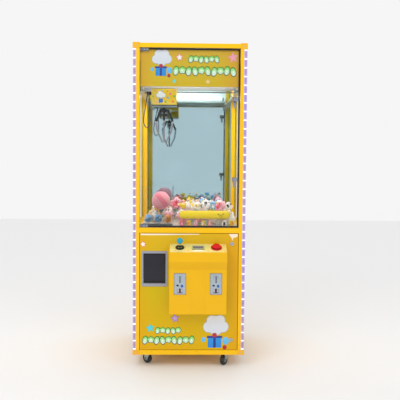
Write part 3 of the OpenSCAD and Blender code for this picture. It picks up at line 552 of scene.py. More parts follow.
@dataclass(frozen=True)
class Pane(Finish):
    """Clear sheet that lets light through and mirrors more at a glancing angle."""

    body: float = 0.02
    glance: float = 0.35

    def sockets(self, graph: Graph) -> dict:
        """Thin body colour, with faint smears in the gloss.

        Args:
            graph: The material's nodes.

        Returns:
            The shader's sockets by name.
        """
        edge_on = graph.value("ShaderNodeLayerWeight", None, {"Blend": 0.12}, "Fresnel")
        smear = graph.noise(7.0, 4.0).step(0.55, 0.9)
        alpha = self.body + edge_on * self.glance + smear * 0.01
        return {"Base Color": graph.mix(smear, self.colour, scaled(self.colour, 1.1)),
                "Roughness": 0.02 + smear * 0.05, "Alpha": alpha}


@dataclass(frozen=True)
class Silvered(Finish):
    """Mirror with a cool tint, darkened as painted shade for the dim room it reflects, and a thin
    film of dust.
    """

    def sockets(self, graph: Graph) -> dict:
        """Reflection dimmed by the painted-shade tint, duller where it is dusty.

        Args:
            graph: The material's nodes.

        Returns:
            The shader's sockets by name.
        """
        dust = graph.noise(6.0, 5.0).step(0.4, 0.8)
        # The dark blue-grey tint is painted shade standing for the dim room in the reflection; dust
        # lightens it.
        tint = graph.mix(dust * 0.3, self.colour, scaled(self.colour, 1.15))
        return {"Base Color": tint, "Metallic": 1.0, "Roughness": 0.03 + dust * 0.05}


@dataclass(frozen=True)
class Plush(Finish):
    """Short pile fabric, with optional bands of a second colour."""

    second: Colour = (0.8, 0.8, 0.8)
    bands: float = 0.0
    pile: float = 1400.0
    tilt: Point = (0.0, 0.0, 1.0)

    def sockets(self, graph: Graph) -> dict:
        """Tufted colour and bump, sheen, and bands across the given direction.

        Args:
            graph: The material's nodes.

        Returns:
            The shader's sockets by name.
        """
        tuft = graph.noise(self.pile, 3.0, roughness=0.7)
        lay = graph.noise(60.0, 3.0)
        shade = graph.mix(tuft * 0.6 + lay * 0.4, scaled(self.colour, 0.82),
                          scaled(self.colour, 1.2))
        if self.bands:
            along = graph.value("ShaderNodeVectorMath", {"operation": "DOT_PRODUCT"},
                                {0: graph.spot(), 1: self.tilt}, "Value")
            wave = (along * self.bands) % 1.0
            mask = wave.step(0.40, 0.46) * (1 - wave.step(0.88, 0.94))
            shade = graph.mix(mask, shade, self.second)
        nap = tuft * 0.7 + lay * 0.3
        return {"Base Color": shade, "Roughness": 0.85 + tuft * 0.1, "Sheen Weight": 0.5,
                "Sheen Roughness": 0.5, "Normal": graph.bump(nap, 0.0012, 0.7)}


@dataclass(frozen=True)
class Rubber(Finish):
    """Moulded rubber or sheathing with dust in its grain."""

    roughness: float = 0.6

    def sockets(self, graph: Graph) -> dict:
        """Dusty patches over a matt base.

        Args:
            graph: The material's nodes.

        Returns:
            The shader's sockets by name.
        """
        dust = graph.noise(35.0, 5.0).step(0.45, 0.85)
        return {"Base Color": graph.mix(dust * 0.5, self.colour, rgb(120, 116, 110)),
                "Roughness": self.roughness + dust * 0.25,
                "Normal": graph.bump(graph.noise(500.0, 3.0), 0.00012)}


@dataclass(frozen=True)
class Twine(Finish):
    """Twisted line whose strands wind round it."""

    pitch: float = 0.004

    def sockets(self, graph: Graph) -> dict:
        """Slanting strands with a fuzzy colour.

        Args:
            graph: The material's nodes.

        Returns:
            The shader's sockets by name.
        """
        x, y, z = graph.axes(graph.spot())
        strand = abs((z + (x + y) * 0.7) / self.pitch % 1.0 - 0.5)
        fuzz = graph.noise(1500.0)
        return {"Base Color": graph.mix(fuzz, scaled(self.colour, 0.8), self.colour),
                "Roughness": 0.7 + fuzz * 0.2, "Normal": graph.bump(strand, 0.0006)}


@dataclass(frozen=True)
class Board(Finish):
    """Laminated board or circuit board with fine tracks."""

    line: Colour = (0.5, 0.5, 0.5)
    scale: float = 120.0

    def sockets(self, graph: Graph) -> dict:
        """Cells outlined in a second colour.

        Args:
            graph: The material's nodes.

        Returns:
            The shader's sockets by name.
        """
        edge = 1 - graph.cells(self.scale, "DISTANCE_TO_EDGE").step(0.02, 0.06)
        return {"Base Color": graph.mix(edge * 0.5, self.colour, self.line),
                "Roughness": 0.45 + graph.noise(50.0) * 0.2,
                "Normal": graph.bump(edge, 0.0001)}


@dataclass(frozen=True)
class Backdrop(Finish):
    """Plain matt floor, the same all over but for an unseen drift in roughness."""

    def sockets(self, graph: Graph) -> dict:
        """One colour."""
        return {"Base Color": self.colour, "Roughness": 0.8 + graph.noise(2.0) * 0.02}


YELLOW = rgb(255, 196, 0)
FRAME_PAINT = Paint("frame_yellow", YELLOW)
BEAD_PAINT = Paint("bead_yellow", rgb(232, 206, 8), roughness=0.4)
CONSOLE_PAINT = Paint("console_yellow", rgb(240, 184, 0), roughness=0.3)
COVER_PAINT = Paint("cover_yellow", rgb(250, 186, 8), roughness=0.4, coat=0.1)
CAP_PLASTIC = Plastic("cap_yellow", rgb(246, 180, 6), roughness=0.3, coat=0.3)
DOOR_PRINT = Print("door_print", rgb(224, 180, 24), rgb(206, 184, 0), rgb(232, 172, 0),
                   low=0.02, high=0.83, side=rgb(228, 164, 8), side_at=0.33)
MARQUEE_PRINT = Print("marquee_sheet", rgb(214, 172, 52), rgb(212, 184, 36), rgb(212, 182, 30),
                      low=1.67, high=1.88, side=rgb(218, 164, 44), side_at=0.29)
COVER_PRINT = Print("cover_print", rgb(238, 206, 60), rgb(236, 196, 30), rgb(226, 206, 96),
                    low=1.56, high=1.67, side=rgb(222, 204, 110), side_at=0.24)
DECK_PRINT = Print("deck_print", rgb(214, 214, 140), rgb(238, 222, 130), rgb(246, 230, 170),
                   low=0.70, high=0.75, side=rgb(238, 216, 120), side_at=0.23)
GLASS = Pane("window_glass", rgb(120, 150, 142))
GLASS_EDGE = Plastic("glass_edge", rgb(70, 138, 112), roughness=0.1, coat=0.5)
ACRYLIC = Pane("clear_acrylic", rgb(196, 210, 216), body=0.02, glance=0.25)
# Tint darkened as painted shade for the dim room that the mirror reflects.
MIRROR = Silvered("silvered", rgb(176, 203, 212))
WHITE_ENAMEL = Paint("white_enamel", rgb(240, 240, 238), roughness=0.35, coat=0.1)
TUBE_GLOW = Glow("tube_glow", rgb(250, 252, 244), 1.25)
CHROME = Metal("chrome", rgb(196, 200, 208), 0.07, streak=0.06, marks=0.00001)
LOCK_CHROME = Metal("lock_chrome", rgb(160, 166, 180), 0.12, streak=0.08, marks=0.00001)
COIN_CHROME = Metal("coin_chrome", rgb(182, 196, 204), 0.16, (1, 1, 0.2), 0.2, 0.00003)
BRUSHED = Metal("brushed_alloy", rgb(196, 198, 202), 0.26, (0.02, 1, 1), streak=0.18)
SHEET = Metal("galvanised_sheet", rgb(176, 180, 184), 0.34, (1, 1, 0.1), streak=0.12)
ZINC = Metal("zinc_plate", rgb(168, 172, 170), 0.30, streak=0.15)
BLACK = Plastic("black_satin", rgb(20, 20, 23), 0.32)
BLACK_GLOSS = Plastic("black_gloss", rgb(26, 26, 38), 0.14, 0.1)
PRIZE_GREY = Paint("prize_grey", rgb(156, 158, 170), roughness=0.35)
TEAL = Plastic("ball_teal", rgb(0, 158, 190), 0.06, 0.3)
RED_DOME = Plastic("dome_red", rgb(214, 0, 6), 0.12, 0.05)
BLUE_KEY = Plastic("key_blue", rgb(40, 96, 186), 0.18, 0.5)
NYLON = Plastic("nylon", rgb(226, 226, 216), 0.5)
TWINE = Twine("hoist_twine", rgb(226, 222, 208))
FINGER = Sleeved("finger_chrome", rgb(150, 154, 162), 0.12, streak=0.1, marks=0.00001,
                 above=1.475)
TYRE = Rubber("tyre", rgb(26, 26, 27))
HUB = Plastic("hub_grey", rgb(120, 124, 124), 0.4)
LEAD = Rubber("lead_sheath", rgb(84, 74, 92), 0.45)
BED = Board("bed_laminate", rgb(214, 210, 200), rgb(190, 186, 178), 60.0)
CIRCUIT = Board("circuit", rgb(20, 84, 52), rgb(150, 140, 70), 240.0)
PATCH = Metal("patch_metal", rgb(124, 132, 146), 0.35, (0.1, 1, 1), streak=0.15)


# ---------- mesh building ----------


class Solid:
    """A mesh under construction, in millimetres behind the cabinet's front plane."""

    def __init__(self) -> None:
        """Starts an empty mesh."""
        self.mesh = bmesh.new()

    def skin(self, rings: list[list[bmesh.types.BMVert]], steps: int,
             capped: bool = True) -> "Solid":
        """Joins rings of points by faces; a ring of one point is a pole.

        Args:
            rings: The rings, from one end to the other.
            steps: Points of a whole ring.
            capped: Whether a face closes each end.

        Returns:
            This solid.
        """
        for lower, upper in zip(rings, rings[1:]):
            for k in range(steps):
                j = (k + 1) % steps
                face = list(dict.fromkeys(ring[i % len(ring)] for ring, i in (
                    (lower, k), (lower, j), (upper, j), (upper, k))))
                if len(face) > 2:
                    self.mesh.faces.new(face)
        for ring in (rings[0], rings[-1]):
            if len(ring) > 1 and capped:
                self.mesh.faces.new(ring)
        return self

    def prism(self, outline: Outline, near: float, far: float) -> "Solid":
        """Adds a flat shape facing the front.

        Args:
            outline: Points (x, z) round the shape.
            near: Depth of the front face.
            far: Depth of the rear face.

        Returns:
            This solid.
        """
        rings = [[self.mesh.verts.new((x, depth, z)) for x, z in outline]
                 for depth in (near, far)]
        return self.skin(rings, len(outline))

    def block(self, low: Point, high: Point, edge: float = 0.0) -> "Solid":
        """Adds a block between two corners, with its edges rounded.

        Args:
            low: Lowest corner.
            high: Highest corner.
            edge: Radius of the rounded edges.

        Returns:
            This solid.
        """
        made = bmesh.ops.create_cube(self.mesh, size=1.0)["verts"]
        middle = (Vector(low) + Vector(high)) / 2
        size = Vector(high) - Vector(low)
        for vert in made:
            vert.co = Vector(a * b for a, b in zip(vert.co, size)) + middle
        if edge:
            edges = list(dict.fromkeys(e for v in made for e in v.link_edges))
            bmesh.ops.bevel(self.mesh, geom=edges, offset=edge, segments=2, profile=0.5,
                            affect="EDGES")
        return self

    def lathe(self, profile: Outline, centre: Point, axis: Point, steps: int = 32) -> "Solid":
        """Adds a turned shape.

        Args:
            profile: Points (radius, height) from one end to the other.
            centre: Where height 0 lies.
            axis: Direction of growing height.
            steps: Sides round the axis.

        Returns:
            This solid.
        """
        turn = Vector(axis).to_track_quat("Z", "Y")
        closed = profile[0] == profile[-1]
        rings = []
        for radius, height in (profile[:-1] if closed else profile):
            if radius < 1e-6:
                rings.append([self.mesh.verts.new(turn @ Vector((0, 0, height)) + Vector(centre))])
                continue
            angles = (2 * math.pi * k / steps for k in range(steps))
            rings.append([self.mesh.verts.new(turn @ Vector((radius * math.cos(a),
                          radius * math.sin(a), height)) + Vector(centre)) for a in angles])
        return self.skin([*rings, rings[0]] if closed else rings, steps, not closed)

    def tube(self, points: Sequence[Point], radius: float, sides: int = 10) -> "Solid":
        """Adds a round tube along points.

        Args:
            points: The line it follows.
            radius: Its radius.
            sides: Sides of its section.

        Returns:
            This solid.
        """
        line = [Vector(p) for p in points]
        rings = []
        for i, point in enumerate(line):
            heading = (line[min(i + 1, len(line) - 1)] - line[max(i - 1, 0)]).normalized()
            across = heading.cross(Vector((0.05, 1, 0.02))).normalized()
            other = heading.cross(across)
            angles = (2 * math.pi * k / sides for k in range(sides))
            rings.append([self.mesh.verts.new(point + radius * (math.cos(a) * across
                          + math.sin(a) * other)) for a in angles])
        return self.skin(rings, sides)

    def ellipsoid(self, centre: Point, radii: Point, turn: Matrix | None = None,
                  detail: int = 3) -> "Solid":
        """Adds a stretched ball.

        Args:
            centre: Its middle.
            radii: Half its size along each axis.
            turn: Rotation about its middle.
            detail: Rounds of subdivision.

        Returns:
            This solid.
        """
        matrix = Matrix.Translation(centre) @ (turn or Matrix()) @ Matrix.Diagonal((*radii, 1))
        bmesh.ops.create_icosphere(self.mesh, subdivisions=detail, radius=1.0, matrix=matrix)
        return self

    def tilt(self, matrix: Matrix) -> "Solid":
        """Moves all that has been built so far."""
        self.mesh.transform(matrix)
        return self

    def make(self, name: str, smooth: float = 40.0) -> bpy.types.Object:
        """Turns the mesh into an object in the shared frame.

        Args:
            name: The object's name.
            smooth: Faces that meet at less than this angle shade smoothly, in degrees.

        Returns:
            The object.
        """
        bmesh.ops.recalc_face_normals(self.mesh, faces=self.mesh.faces)
        self.mesh.transform(Matrix.Translation((0, FRONT, 0)) @ Matrix.Scale(MM, 4))
        data = bpy.data.meshes.new(name)
        self.mesh.to_mesh(data)
        self.mesh.free()
        made = bpy.data.objects.new(name, data)
        bpy.context.scene.collection.objects.link(made)
        data.shade_smooth()
        data.set_sharp_from_angle(angle=math.radians(smooth))
        return made


def dress(obj: bpy.types.Object, finish: Finish) -> bpy.types.Object:
    """Gives an object one finish all over.

    Args:
        obj: The object.
        finish: Its finish.

    Returns:
        The object.
    """
    obj.data.materials.clear()
    obj.data.materials.append(finish.material())
    return obj


def piece(solid: Solid, name: str, body: str, finish: Finish,
          smooth: float = 40.0) -> bpy.types.Object:
    """Makes a piece, dresses it and fixes it to a body.

    Args:
        solid: Its mesh.
        name: Its name.
        body: The body that it moves with.
        finish: Its finish.
        smooth: Largest angle between faces that still shades smoothly, in degrees.

    Returns:
        The object.
    """
    made = dress(solid.make(name, smooth), finish)
    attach(made, body)
    LOG.info("piece %s on %s", name, body)
    return made


def circle(x: float, z: float, radius: float, steps: int = 28, squash: float = 1.0) -> Outline:
    """Round or oval outline about (x, z)."""
    angles = [2 * math.pi * k / steps for k in range(steps)]
    return [(x + radius * math.cos(a), z + radius * squash * math.sin(a)) for a in angles]


def star(x: float, z: float, radius: float, turn: float = 0.0, waist: float = 0.52) -> Outline:
    """Five-pointed star outline with blunt points.

    Args:
        x: Its middle to the right.
        z: Its middle height.
        radius: Reach of its points.
        turn: Its turn, in degrees.
        waist: Reach of its inner corners, as a share of the radius.

    Returns:
        The outline.
    """
    points = []
    for k in range(10):
        reach = radius if k % 2 == 0 else radius * waist
        angle = math.radians(90 + turn + 36 * k)
        spread = 0.09 if k % 2 == 0 else 0.0
        for side in ((-1, 1) if spread else (0,)):
            a = angle + side * spread
            points.append((x + reach * math.cos(a), z + reach * math.sin(a)))
    return points


def flower(x: float, z: float, radius: float, petals: int = 5, turn: float = 0.0) -> Outline:
    """Outline of a flower with rounded petals.

    Args:
        x: Its middle to the right.
        z: Its middle height.
        radius: Reach of its petals.
        petals: How many it has.
        turn: Its turn, in degrees.

    Returns:
        The outline.
    """
    steps = petals * 10
    points = []
    for k in range(steps):
        angle = 2 * math.pi * k / steps + math.radians(turn)
        reach = radius * (0.80 + 0.20 * abs(math.cos(petals * (angle - math.radians(turn)) / 2)))
        points.append((x + reach * math.cos(angle), z + reach * math.sin(angle)))
    return points


def puffed(x: float, z: float, size: float, grow: float, puffs: Sequence[Point]) -> Outline:
    """Outline round overlapping discs, as seen from the middle.

    Args:
        x: Middle of the cloud.
        z: Height of its middle.
        size: Unit of the discs' places and radii.
        grow: Factor on the radii.
        puffs: Discs as (x, z, radius).

    Returns:
        The outline.
    """
    points = []
    for k in range(96):
        way = Vector((math.cos(math.pi * k / 48), math.sin(math.pi * k / 48)))
        reaches = []
        for px, pz, radius in puffs:
            along = way.dot(Vector((px, pz)))
            inside = (radius * grow) ** 2 - (px * px + pz * pz - along * along)
            if inside > 0:
                reaches.append(along + math.sqrt(inside))
        reach = max(reaches) * size
        points.append((x + way.x * reach, z + way.y * reach))
    return points


def rounded(x0: float, x1: float, z0: float, z1: float, radius: float) -> Outline:
    """Outline of a rectangle with rounded corners.

    Args:
        x0: Its left side.
        x1: Its right side.
        z0: Its foot.
        z1: Its head.
        radius: Radius of its corners.

    Returns:
        The outline.
    """
    corners = ((x1 - radius, z1 - radius, 0), (x0 + radius, z1 - radius, 90),
               (x0 + radius, z0 + radius, 180), (x1 - radius, z0 + radius, 270))
    return [(cx + radius * math.cos(math.radians(start + 15 * k)),
             cz + radius * math.sin(math.radians(start + 15 * k)))
            for cx, cz, start in corners for k in range(7)]


def bolt(solid: Solid, x: float, depth: float, z: float, radius: float,
         axis: Point = (0, -1, 0)) -> None:
    """Adds a domed screw head with a round recess in its top, which sits on the face at that depth.
    """
    dome = [(0, 0.10), (0.42, 0.10), (0.45, 0.34), (0.62, 0.38), (0.85, 0.26), (1.0, 0.0)]
    solid.lathe([(r * radius, h * radius) for r, h in dome], (x, depth, z), axis, 18)


def keyway(name: str, lock: str, x: float, depth: float, z: float) -> None:
    """Black block on a lock's face, painted shade standing for the slot that the key goes in.

    Args:
        name: The piece's name.
        lock: The lock's body.
        x: Place of the lock to the right.
        depth: Depth of the slot's outer face.
        z: Height of the lock.
    """
    half_w, half_h, thick = 0.6, 3.2, 0.6
    # A black block, not a cut: painted shade of the recessed keyhole.
    slot = Solid().block((x - half_w, depth, z - half_h), (x + half_w, depth + thick, z + half_h),
                         0.15)
    piece(slot, name, lock, BLACK)


class Assembly:
    """A group of pieces that is built in one go."""

    def build(self) -> None:
        """Makes the group's pieces; each assembly gives its own."""
        raise NotImplementedError

    def dress_nodes(self, finishes: dict[str, Finish]) -> None:
        """Gives frame nodes their finishes, by node name."""
        for node, finish in finishes.items():
            dress(frame["nodes"][node], finish)


# ---------- studio ----------


@dataclass
class Studio(Assembly):
    """Pale floor, soft light and the camera.

    The camera and the lights outside are in metres; the two points that the lights inside
    the cabinet go by are in millimetres behind the front plane.
    """

    eye: Point = (-0.020, -3.8025, 1.235)
    pitch: float = 3.725
    yaw: float = 1.35
    roll: float = 0.45
    lens: float = 53.64
    film: float = 36.0
    ambient: float = 0.92
    floor_half: float = 9000
    ceiling: Point = (20, 0, 1870)
    heap: Point = (20, 360, 900)

    def camera(self) -> None:
        """Places the camera at the viewing angle."""
        data = bpy.data.cameras.new("camera")
        data.lens = self.lens
        data.sensor_width = self.film
        camera = bpy.data.objects.new("camera", data)
        turn = (Matrix.Rotation(math.radians(-self.yaw), 4, "Z")
                @ Matrix.Rotation(math.radians(90 - self.pitch), 4, "X")
                @ Matrix.Rotation(math.radians(self.roll), 4, "Z"))
        camera.matrix_world = Matrix.Translation(self.eye) @ turn
        bpy.context.scene.collection.objects.link(camera)
        bpy.context.scene.camera = camera

    def lamp(self, name: str, spot: Point, aim: Point, size: tuple[float, float],
             watts: float, colour: Colour = (1.0, 1.0, 1.0)) -> None:
        """Adds a soft rectangular light that no reflection shows.

        Args:
            name: Its name.
            spot: Where it stands.
            aim: The point that it faces.
            size: Its width and height.
            watts: Its power.
            colour: Its colour.
        """
        data = bpy.data.lights.new(name, "AREA")
        data.shape = "RECTANGLE"
        data.size, data.size_y = size
        data.energy = watts
        data.color = colour
        light = bpy.data.objects.new(name, data)
        light.location = spot
        light.rotation_euler = (Vector(aim) - Vector(spot)).to_track_quat("-Z", "Y").to_euler()
        light.visible_camera = False
        light.visible_glossy = False
        bpy.context.scene.collection.objects.link(light)

    def build(self) -> None:
        """Sets up the floor, the surroundings and the lights."""
        scene = bpy.context.scene
        scene.view_settings.view_transform = "Standard"
        world = bpy.data.worlds.new("studio")
        world.use_nodes = True
        background = world.node_tree.nodes["Background"]
        background.inputs["Color"].default_value = (1.0, 1.0, 1.0, 1.0)
        background.inputs["Strength"].default_value = self.ambient
        scene.world = world
        half = self.floor_half
        floor = Solid().block((-half, -half, -20), (half, half, -0.5)).make("studio_floor")
        dress(floor, Backdrop("floor_white", (0.9, 0.9, 0.9)))
        self.lamp("key_light", (-1.6, -3.0, 3.6), (0, -0.3, 1.0), (1.8, 1.8), 34.0)
        self.lamp("fill_light", (2.6, -3.0, 1.6), (0, -0.2, 0.9), (2.0, 2.0), 4.0)
        for name, depth, watts in (("front", 210, 3.6), ("rear", 540, 3.0)):
            x, _, z = self.ceiling
            self.lamp("cabinet_light_" + name, tuple(place(x, depth, z)),
                      tuple(place(*self.heap)), (0.45, 0.15), watts, (1.0, 1.0, 0.97))


# ---------- cable ----------


@dataclass
class SpareLead(Assembly):
    """Lead of the bridge, which hangs in one long loop from its clip and back."""

    start: Point = (-270, 112, 1649)
    radius: float = 3
    route: tuple[Point, ...] = (
        (18, 0, 0), (18, 0, -11), (13, 1, -31), (8, 2, -59), (2, 3, -91), (-4, 4, -127),
        (-8, 5, -163), (-6, 6, -191), (3, 7, -209), (15, 8, -213), (25, 8, -203), (30, 8, -179),
        (30, 7, -143), (28, 6, -103), (26, 5, -63), (24, 4, -29), (24, 3, -11), (24, 3, 0))

    def line(self, steps: int = 4) -> list[Vector]:
        """Points of a smooth curve through the route.

        Args:
            steps: Points to each stretch.

        Returns:
            The points, in millimetres behind the front plane.
        """
        knots = [Vector(self.start) + Vector(offset) for offset in self.route]
        ends = [knots[0], *knots, knots[-1]]
        points = []
        for a, b, c, d in zip(ends, ends[1:], ends[2:], ends[3:]):
            for k in range(steps):
                t = k / steps
                points.append(0.5 * (2 * b + (c - a) * t + (2 * a - 5 * b + 4 * c - d) * t ** 2
                                     + (3 * b - a - 3 * c + d) * t ** 3))
        return [*points, knots[-1]]

    def build(self) -> None:
        """Makes the lead and works out its length."""
        points = self.line()
        length = sum((b - a).length for a, b in zip(points, points[1:])) * MM
        solid = Solid().tube([tuple(point) for point in points], self.radius, 14)
        lead = piece(solid, "bridge_lead", "bridge", LEAD, 60)
        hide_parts("bridge_cable")
        tuple(place(*points[0]))
        2 * self.radius * MM
        [tuple(place(*point)) for point in points]


# ---------- cabinet ----------


@dataclass
class Cabinet(Assembly):
    """Frame, covers, side windows, mirror, light strips, chute and lamp."""

    frame: Extent = extent("cabinet_frame")
    windows: Extent = extent("side_windows")
    tube: Extent = extent("lamp_tube")
    strip: float = extent("led_strips").far
    strip_end: float = 34
    lamp_pitch: float = 50.5
    lens_half: float = 2
    bead: float = 9
    bead_thick: float = 5.4
    sill_z: float = 800
    hatch: tuple[float, float, float] = (210, 330, 735)
    rib_pitch: float = 17

    def strips(self) -> None:
        """Light strip lamps: a row of clear lenses up each front corner."""
        solid = Solid()
        first = self.frame.low + self.strip_end
        count = int((self.frame.high - self.strip_end - first) / self.lamp_pitch) + 1
        for side in (-1, 1):
            edge = side * self.frame.x1
            x = side * (self.frame.x1 - self.strip / 2)
            outer = sorted((edge, edge + side * 0.9))
            for k in range(count):
                z = first + k * self.lamp_pitch
                low, high = z - self.lens_half, z + self.lens_half
                solid.block((x - 6.5, -0.9, low), (x + 6.5, 0.6, high), 0.7)
                solid.block((outer[0], 2.5, low), (outer[1], 15.5, high), 0.4)
        piece(solid, "strip_lamps", "cabinet", Glow("lamp_white", rgb(250, 248, 255), 1.1))

    def fasteners(self) -> None:
        """Screws that hold the caps, the covers and the side windows' beads."""
        caps, covers = Solid(), Solid()
        for side in (-1, 1):
            for z in (self.frame.low + 14, self.frame.high - 14):
                bolt(caps, side * 313, -1.9, z, 3.2)
            for z in (140, 460, 776, 880, 1366, 1850):
                inset = 5.9 if z < self.sill_z else 8.1
                for depth in (70, 350, 630):
                    if depth == 350 and 900 < z < 1800:
                        continue
                    bolt(covers, side * (self.frame.x1 - inset), depth, z, 4.0, (side, 0, 0))
        for x in (-270, 0, 270):
            for z in (130, 788, 866, 1366, 1868):
                bolt(covers, x, self.frame.far - 2.1, z, 4.0, (0, 1, 0))
        piece(caps, "cap_screws", "cabinet", CHROME)
        piece(covers, "cover_screws", "cabinet", ZINC)

    def beads(self) -> None:
        """Painted glazing bead round each side window, inside and out."""
        solid = Solid()
        near, far = self.windows.near, self.windows.far
        low, high = self.windows.low, self.windows.high
        for side in (-1, 1):
            for x in (self.windows.x1 + 0.1, self.windows.x1 - 11):
                x0, x1 = sorted((side * x, side * (x + self.bead_thick)))
                for z in (low, high - self.bead):
                    solid.block((x0, near, z), (x1, far, z + self.bead), 1.2)
                for depth in (near, far - self.bead):
                    solid.block((x0, depth, low), (x1, depth + self.bead, high), 1.2)
        piece(solid, "window_beads", "cabinet", BEAD_PAINT)

    def lamp(self) -> None:
        """End caps and the fluted reflector behind the tube."""
        caps, ribs = Solid(), Solid()
        middle = (self.tube.low + self.tube.high) / 2
        profile = [(0, 0), (12.6, 0), (13.4, 1.2), (13.4, 13), (12.4, 14.5), (0, 14.5)]
        for side in (-1, 1):
            end = side * (self.tube.x1 + 0.5)
            caps.lathe(profile, (end, (self.tube.near + self.tube.far) / 2, middle),
                       (-side, 0, 0), 28)
        for step in (-3, -2, 2, 3):
            z = middle + step * self.rib_pitch
            ribs.block((-276, 40.1, z - 1.5), (276, 43.5, z + 1.5), 0.8)
        piece(caps, "lamp_caps", "cabinet", BRUSHED)
        piece(ribs, "lamp_ribs", "cabinet", WHITE_ENAMEL)

    def service_side(self) -> None:
        """Rear access door outline as black strips, painted shade of the gap round the door; its
        lock and hinges, and the wiring trunking.
        """
        seam, plate, trunk = Solid(), Solid(), Solid()
        rear = self.frame.far - 2
        half, low, high = self.hatch
        # The black strips are painted shade standing for the gap round the hatch.
        for z in (low, high):
            seam.block((-half, rear - 0.2, z - 1), (half, rear + 0.3, z + 1))
        for x in (-half, half):
            seam.block((x - 1, rear - 0.2, low), (x + 1, rear + 0.3, high))
        plate.lathe([(0, 0.8), (4.5, 0.8), (5, 1.4), (8.5, 1.6), (9, 0)], (half - 30, rear, 540),
                    (0, 1, 0), 28)
        for z in (495, 610):
            plate.block((half - 4, rear, z), (half + 4, rear + 1.8, z + 60), 0.8)
        trunk.block((250, 640, 100), (270, 660, 800), 2)
        trunk.block((250, 560, 760), (270, 640, 780), 2)
        piece(seam, "service_seam", "cabinet", BLACK)
        piece(plate, "service_lock", "cabinet", CHROME)
        piece(trunk, "wiring_trunk", "cabinet", NYLON)

    def build(self) -> None:
        """Dresses the cabinet's nodes and adds its small pieces."""
        self.dress_nodes({
            "cabinet_frame": FRAME_PAINT, "cover_panels": COVER_PAINT, "side_windows": GLASS,
            "mirror_panel": MIRROR, "prize_bed": BED, "chute_guard": ACRYLIC,
            "prize_chute": SHEET, "led_strips": LightStrip("light_strip"),
            "corner_caps": CAP_PLASTIC, "lamp_housing": WHITE_ENAMEL, "lamp_tube": TUBE_GLOW,
            "gantry_rails": BRUSHED, "electrics": CIRCUIT, "mains_inlet": BLACK,
            "caster_plates": ZINC})
        self.strips()
        self.fasteners()
        self.beads()
        self.lamp()
        self.service_side()


# ---------- printed motifs ----------


@dataclass
class Motifs:
    """Flat printed shapes on one face, a piece to each ink."""

    name: str
    body: str
    slot: str
    near: float
    thick: float = 0.3
    shapes: dict[Ink, list[Outline]] = field(default_factory=dict)

    def add(self, ink: Ink, *outlines: Outline) -> None:
        """Adds outlines in one ink."""
        self.shapes.setdefault(ink, []).extend(outlines)

    def build(self) -> None:
        """Makes a piece for each ink, later inks lying nearer the viewer."""
        count = len(self.shapes)
        for level, (ink, outlines) in enumerate(self.shapes.items()):
            solid = Solid()
            for order, outline in enumerate(outlines):
                lift = self.thick * (level + 1 - 0.3 * (order % 2)) / count
                solid.prism(outline, self.near - lift, self.near)
            piece(solid, f"{self.name}_{ink.name}", self.body, ink)


def garland(motifs: Motifs, x0: float, x1: float, z: float, height: float, count: int,
            wave: float, suffix: str) -> None:
    """Adds a row of leaves and blossoms, green above and white below.

    Args:
        motifs: The print that takes it.
        x0: Its left end.
        x1: Its right end.
        z: Its middle height.
        height: Height of a leaf.
        count: How many there are.
        wave: How far they rise and fall.
        suffix: Ends the inks' names.
    """
    low, high = (z - height * 0.5 - wave) * MM, (z + height * 0.5 + wave) * MM
    rim = Ink("leaf_rim_" + suffix, rgb(30, 110, 20), rgb(40, 96, 66), low, high)
    leaf = Ink("leaf_" + suffix, rgb(110, 214, 20), rgb(228, 244, 236), low, high)
    heart = Ink("leaf_heart_" + suffix, rgb(212, 244, 168), rgb(255, 255, 255), low, high)
    step = (x1 - x0) / count
    for k in range(count):
        x = x0 + step * (k + 0.5)
        middle = z + wave * math.sin(k * 1.9)
        if k % 3 == 1:
            motifs.add(rim, flower(x, middle, step * 0.66, 5, 18 * k))
            motifs.add(leaf, flower(x, middle, step * 0.54, 5, 18 * k))
            motifs.add(heart, circle(x, middle, step * 0.18))
        else:
            lean = 0.2 * (-1) ** k
            for ink, grow in ((rim, 1.0), (leaf, 0.80), (heart, 0.26)):
                half = height * 0.5 * grow
                oval = circle(0, 0, step * 0.50 * grow, 24, half / (step * 0.50 * grow))
                motifs.add(ink, [(x + px + lean * pz * 0.6, middle + pz) for px, pz in oval])


def balloon_bunch(motifs: Motifs, x: float, z: float, size: float, suffix: str) -> None:
    """Adds a cloud with a gift box under it and two balloons.

    Args:
        motifs: The print that takes it.
        x: The cloud's middle.
        z: The cloud's middle height.
        size: Half the cloud's width.
        suffix: Ends the inks' names.
    """
    low, high = (z - size * 2.2) * MM, (z + size) * MM
    shade, cloud, box, navy, red, sky = (
        Ink(f"{name}_{suffix}", rgb(*top), rgb(*bottom), low, high) for name, top, bottom in (
            ("cloud_shade", (150, 168, 190), (120, 150, 180)),
            ("cloud", (226, 230, 236), (196, 208, 224)),
            ("gift_blue", (40, 176, 240), (10, 130, 220)),
            ("gift_navy", (10, 60, 170), (10, 40, 130)),
            ("gift_red", (200, 20, 60), (170, 10, 50)),
            ("balloon_sky", (150, 222, 248), (70, 176, 232))))

    def panel(x0: float, x1: float, z0: float, z1: float, corner: float) -> Outline:
        """Rounded rectangle in units of the size, about the cloud's middle."""
        return rounded(x + size * x0, x + size * x1, z + size * z0, z + size * z1, size * corner)

    puffs = ((0, 0.12, 0.66), (-0.55, -0.1, 0.42), (0.55, -0.08, 0.44), (-0.3, 0.42, 0.4),
             (0.34, 0.46, 0.38), (0, -0.25, 0.5))
    motifs.add(shade, puffed(x, z, size, 1.06, puffs))
    motifs.add(cloud, puffed(x, z, size, 1.0, puffs))
    motifs.add(box, panel(-0.62, 0.46, -1.75, -0.86, 0.08))
    motifs.add(navy, panel(-0.18, 0.02, -1.75, -0.8, 0.03), panel(-0.68, 0.52, -0.98, -0.8, 0.04))
    motifs.add(red, flower(x - size * 0.08, z - size * 0.74, size * 0.2, 4, 45),
               circle(x + size * 0.72, z - size * 1.72, size * 0.16, 24, 1.15))
    motifs.add(sky, circle(x + size * 0.8, z - size * 1.2, size * 0.26, 28, 1.2),
               circle(x - size * 0.95, z - size * 1.1, size * 0.17, 28, 1.2))


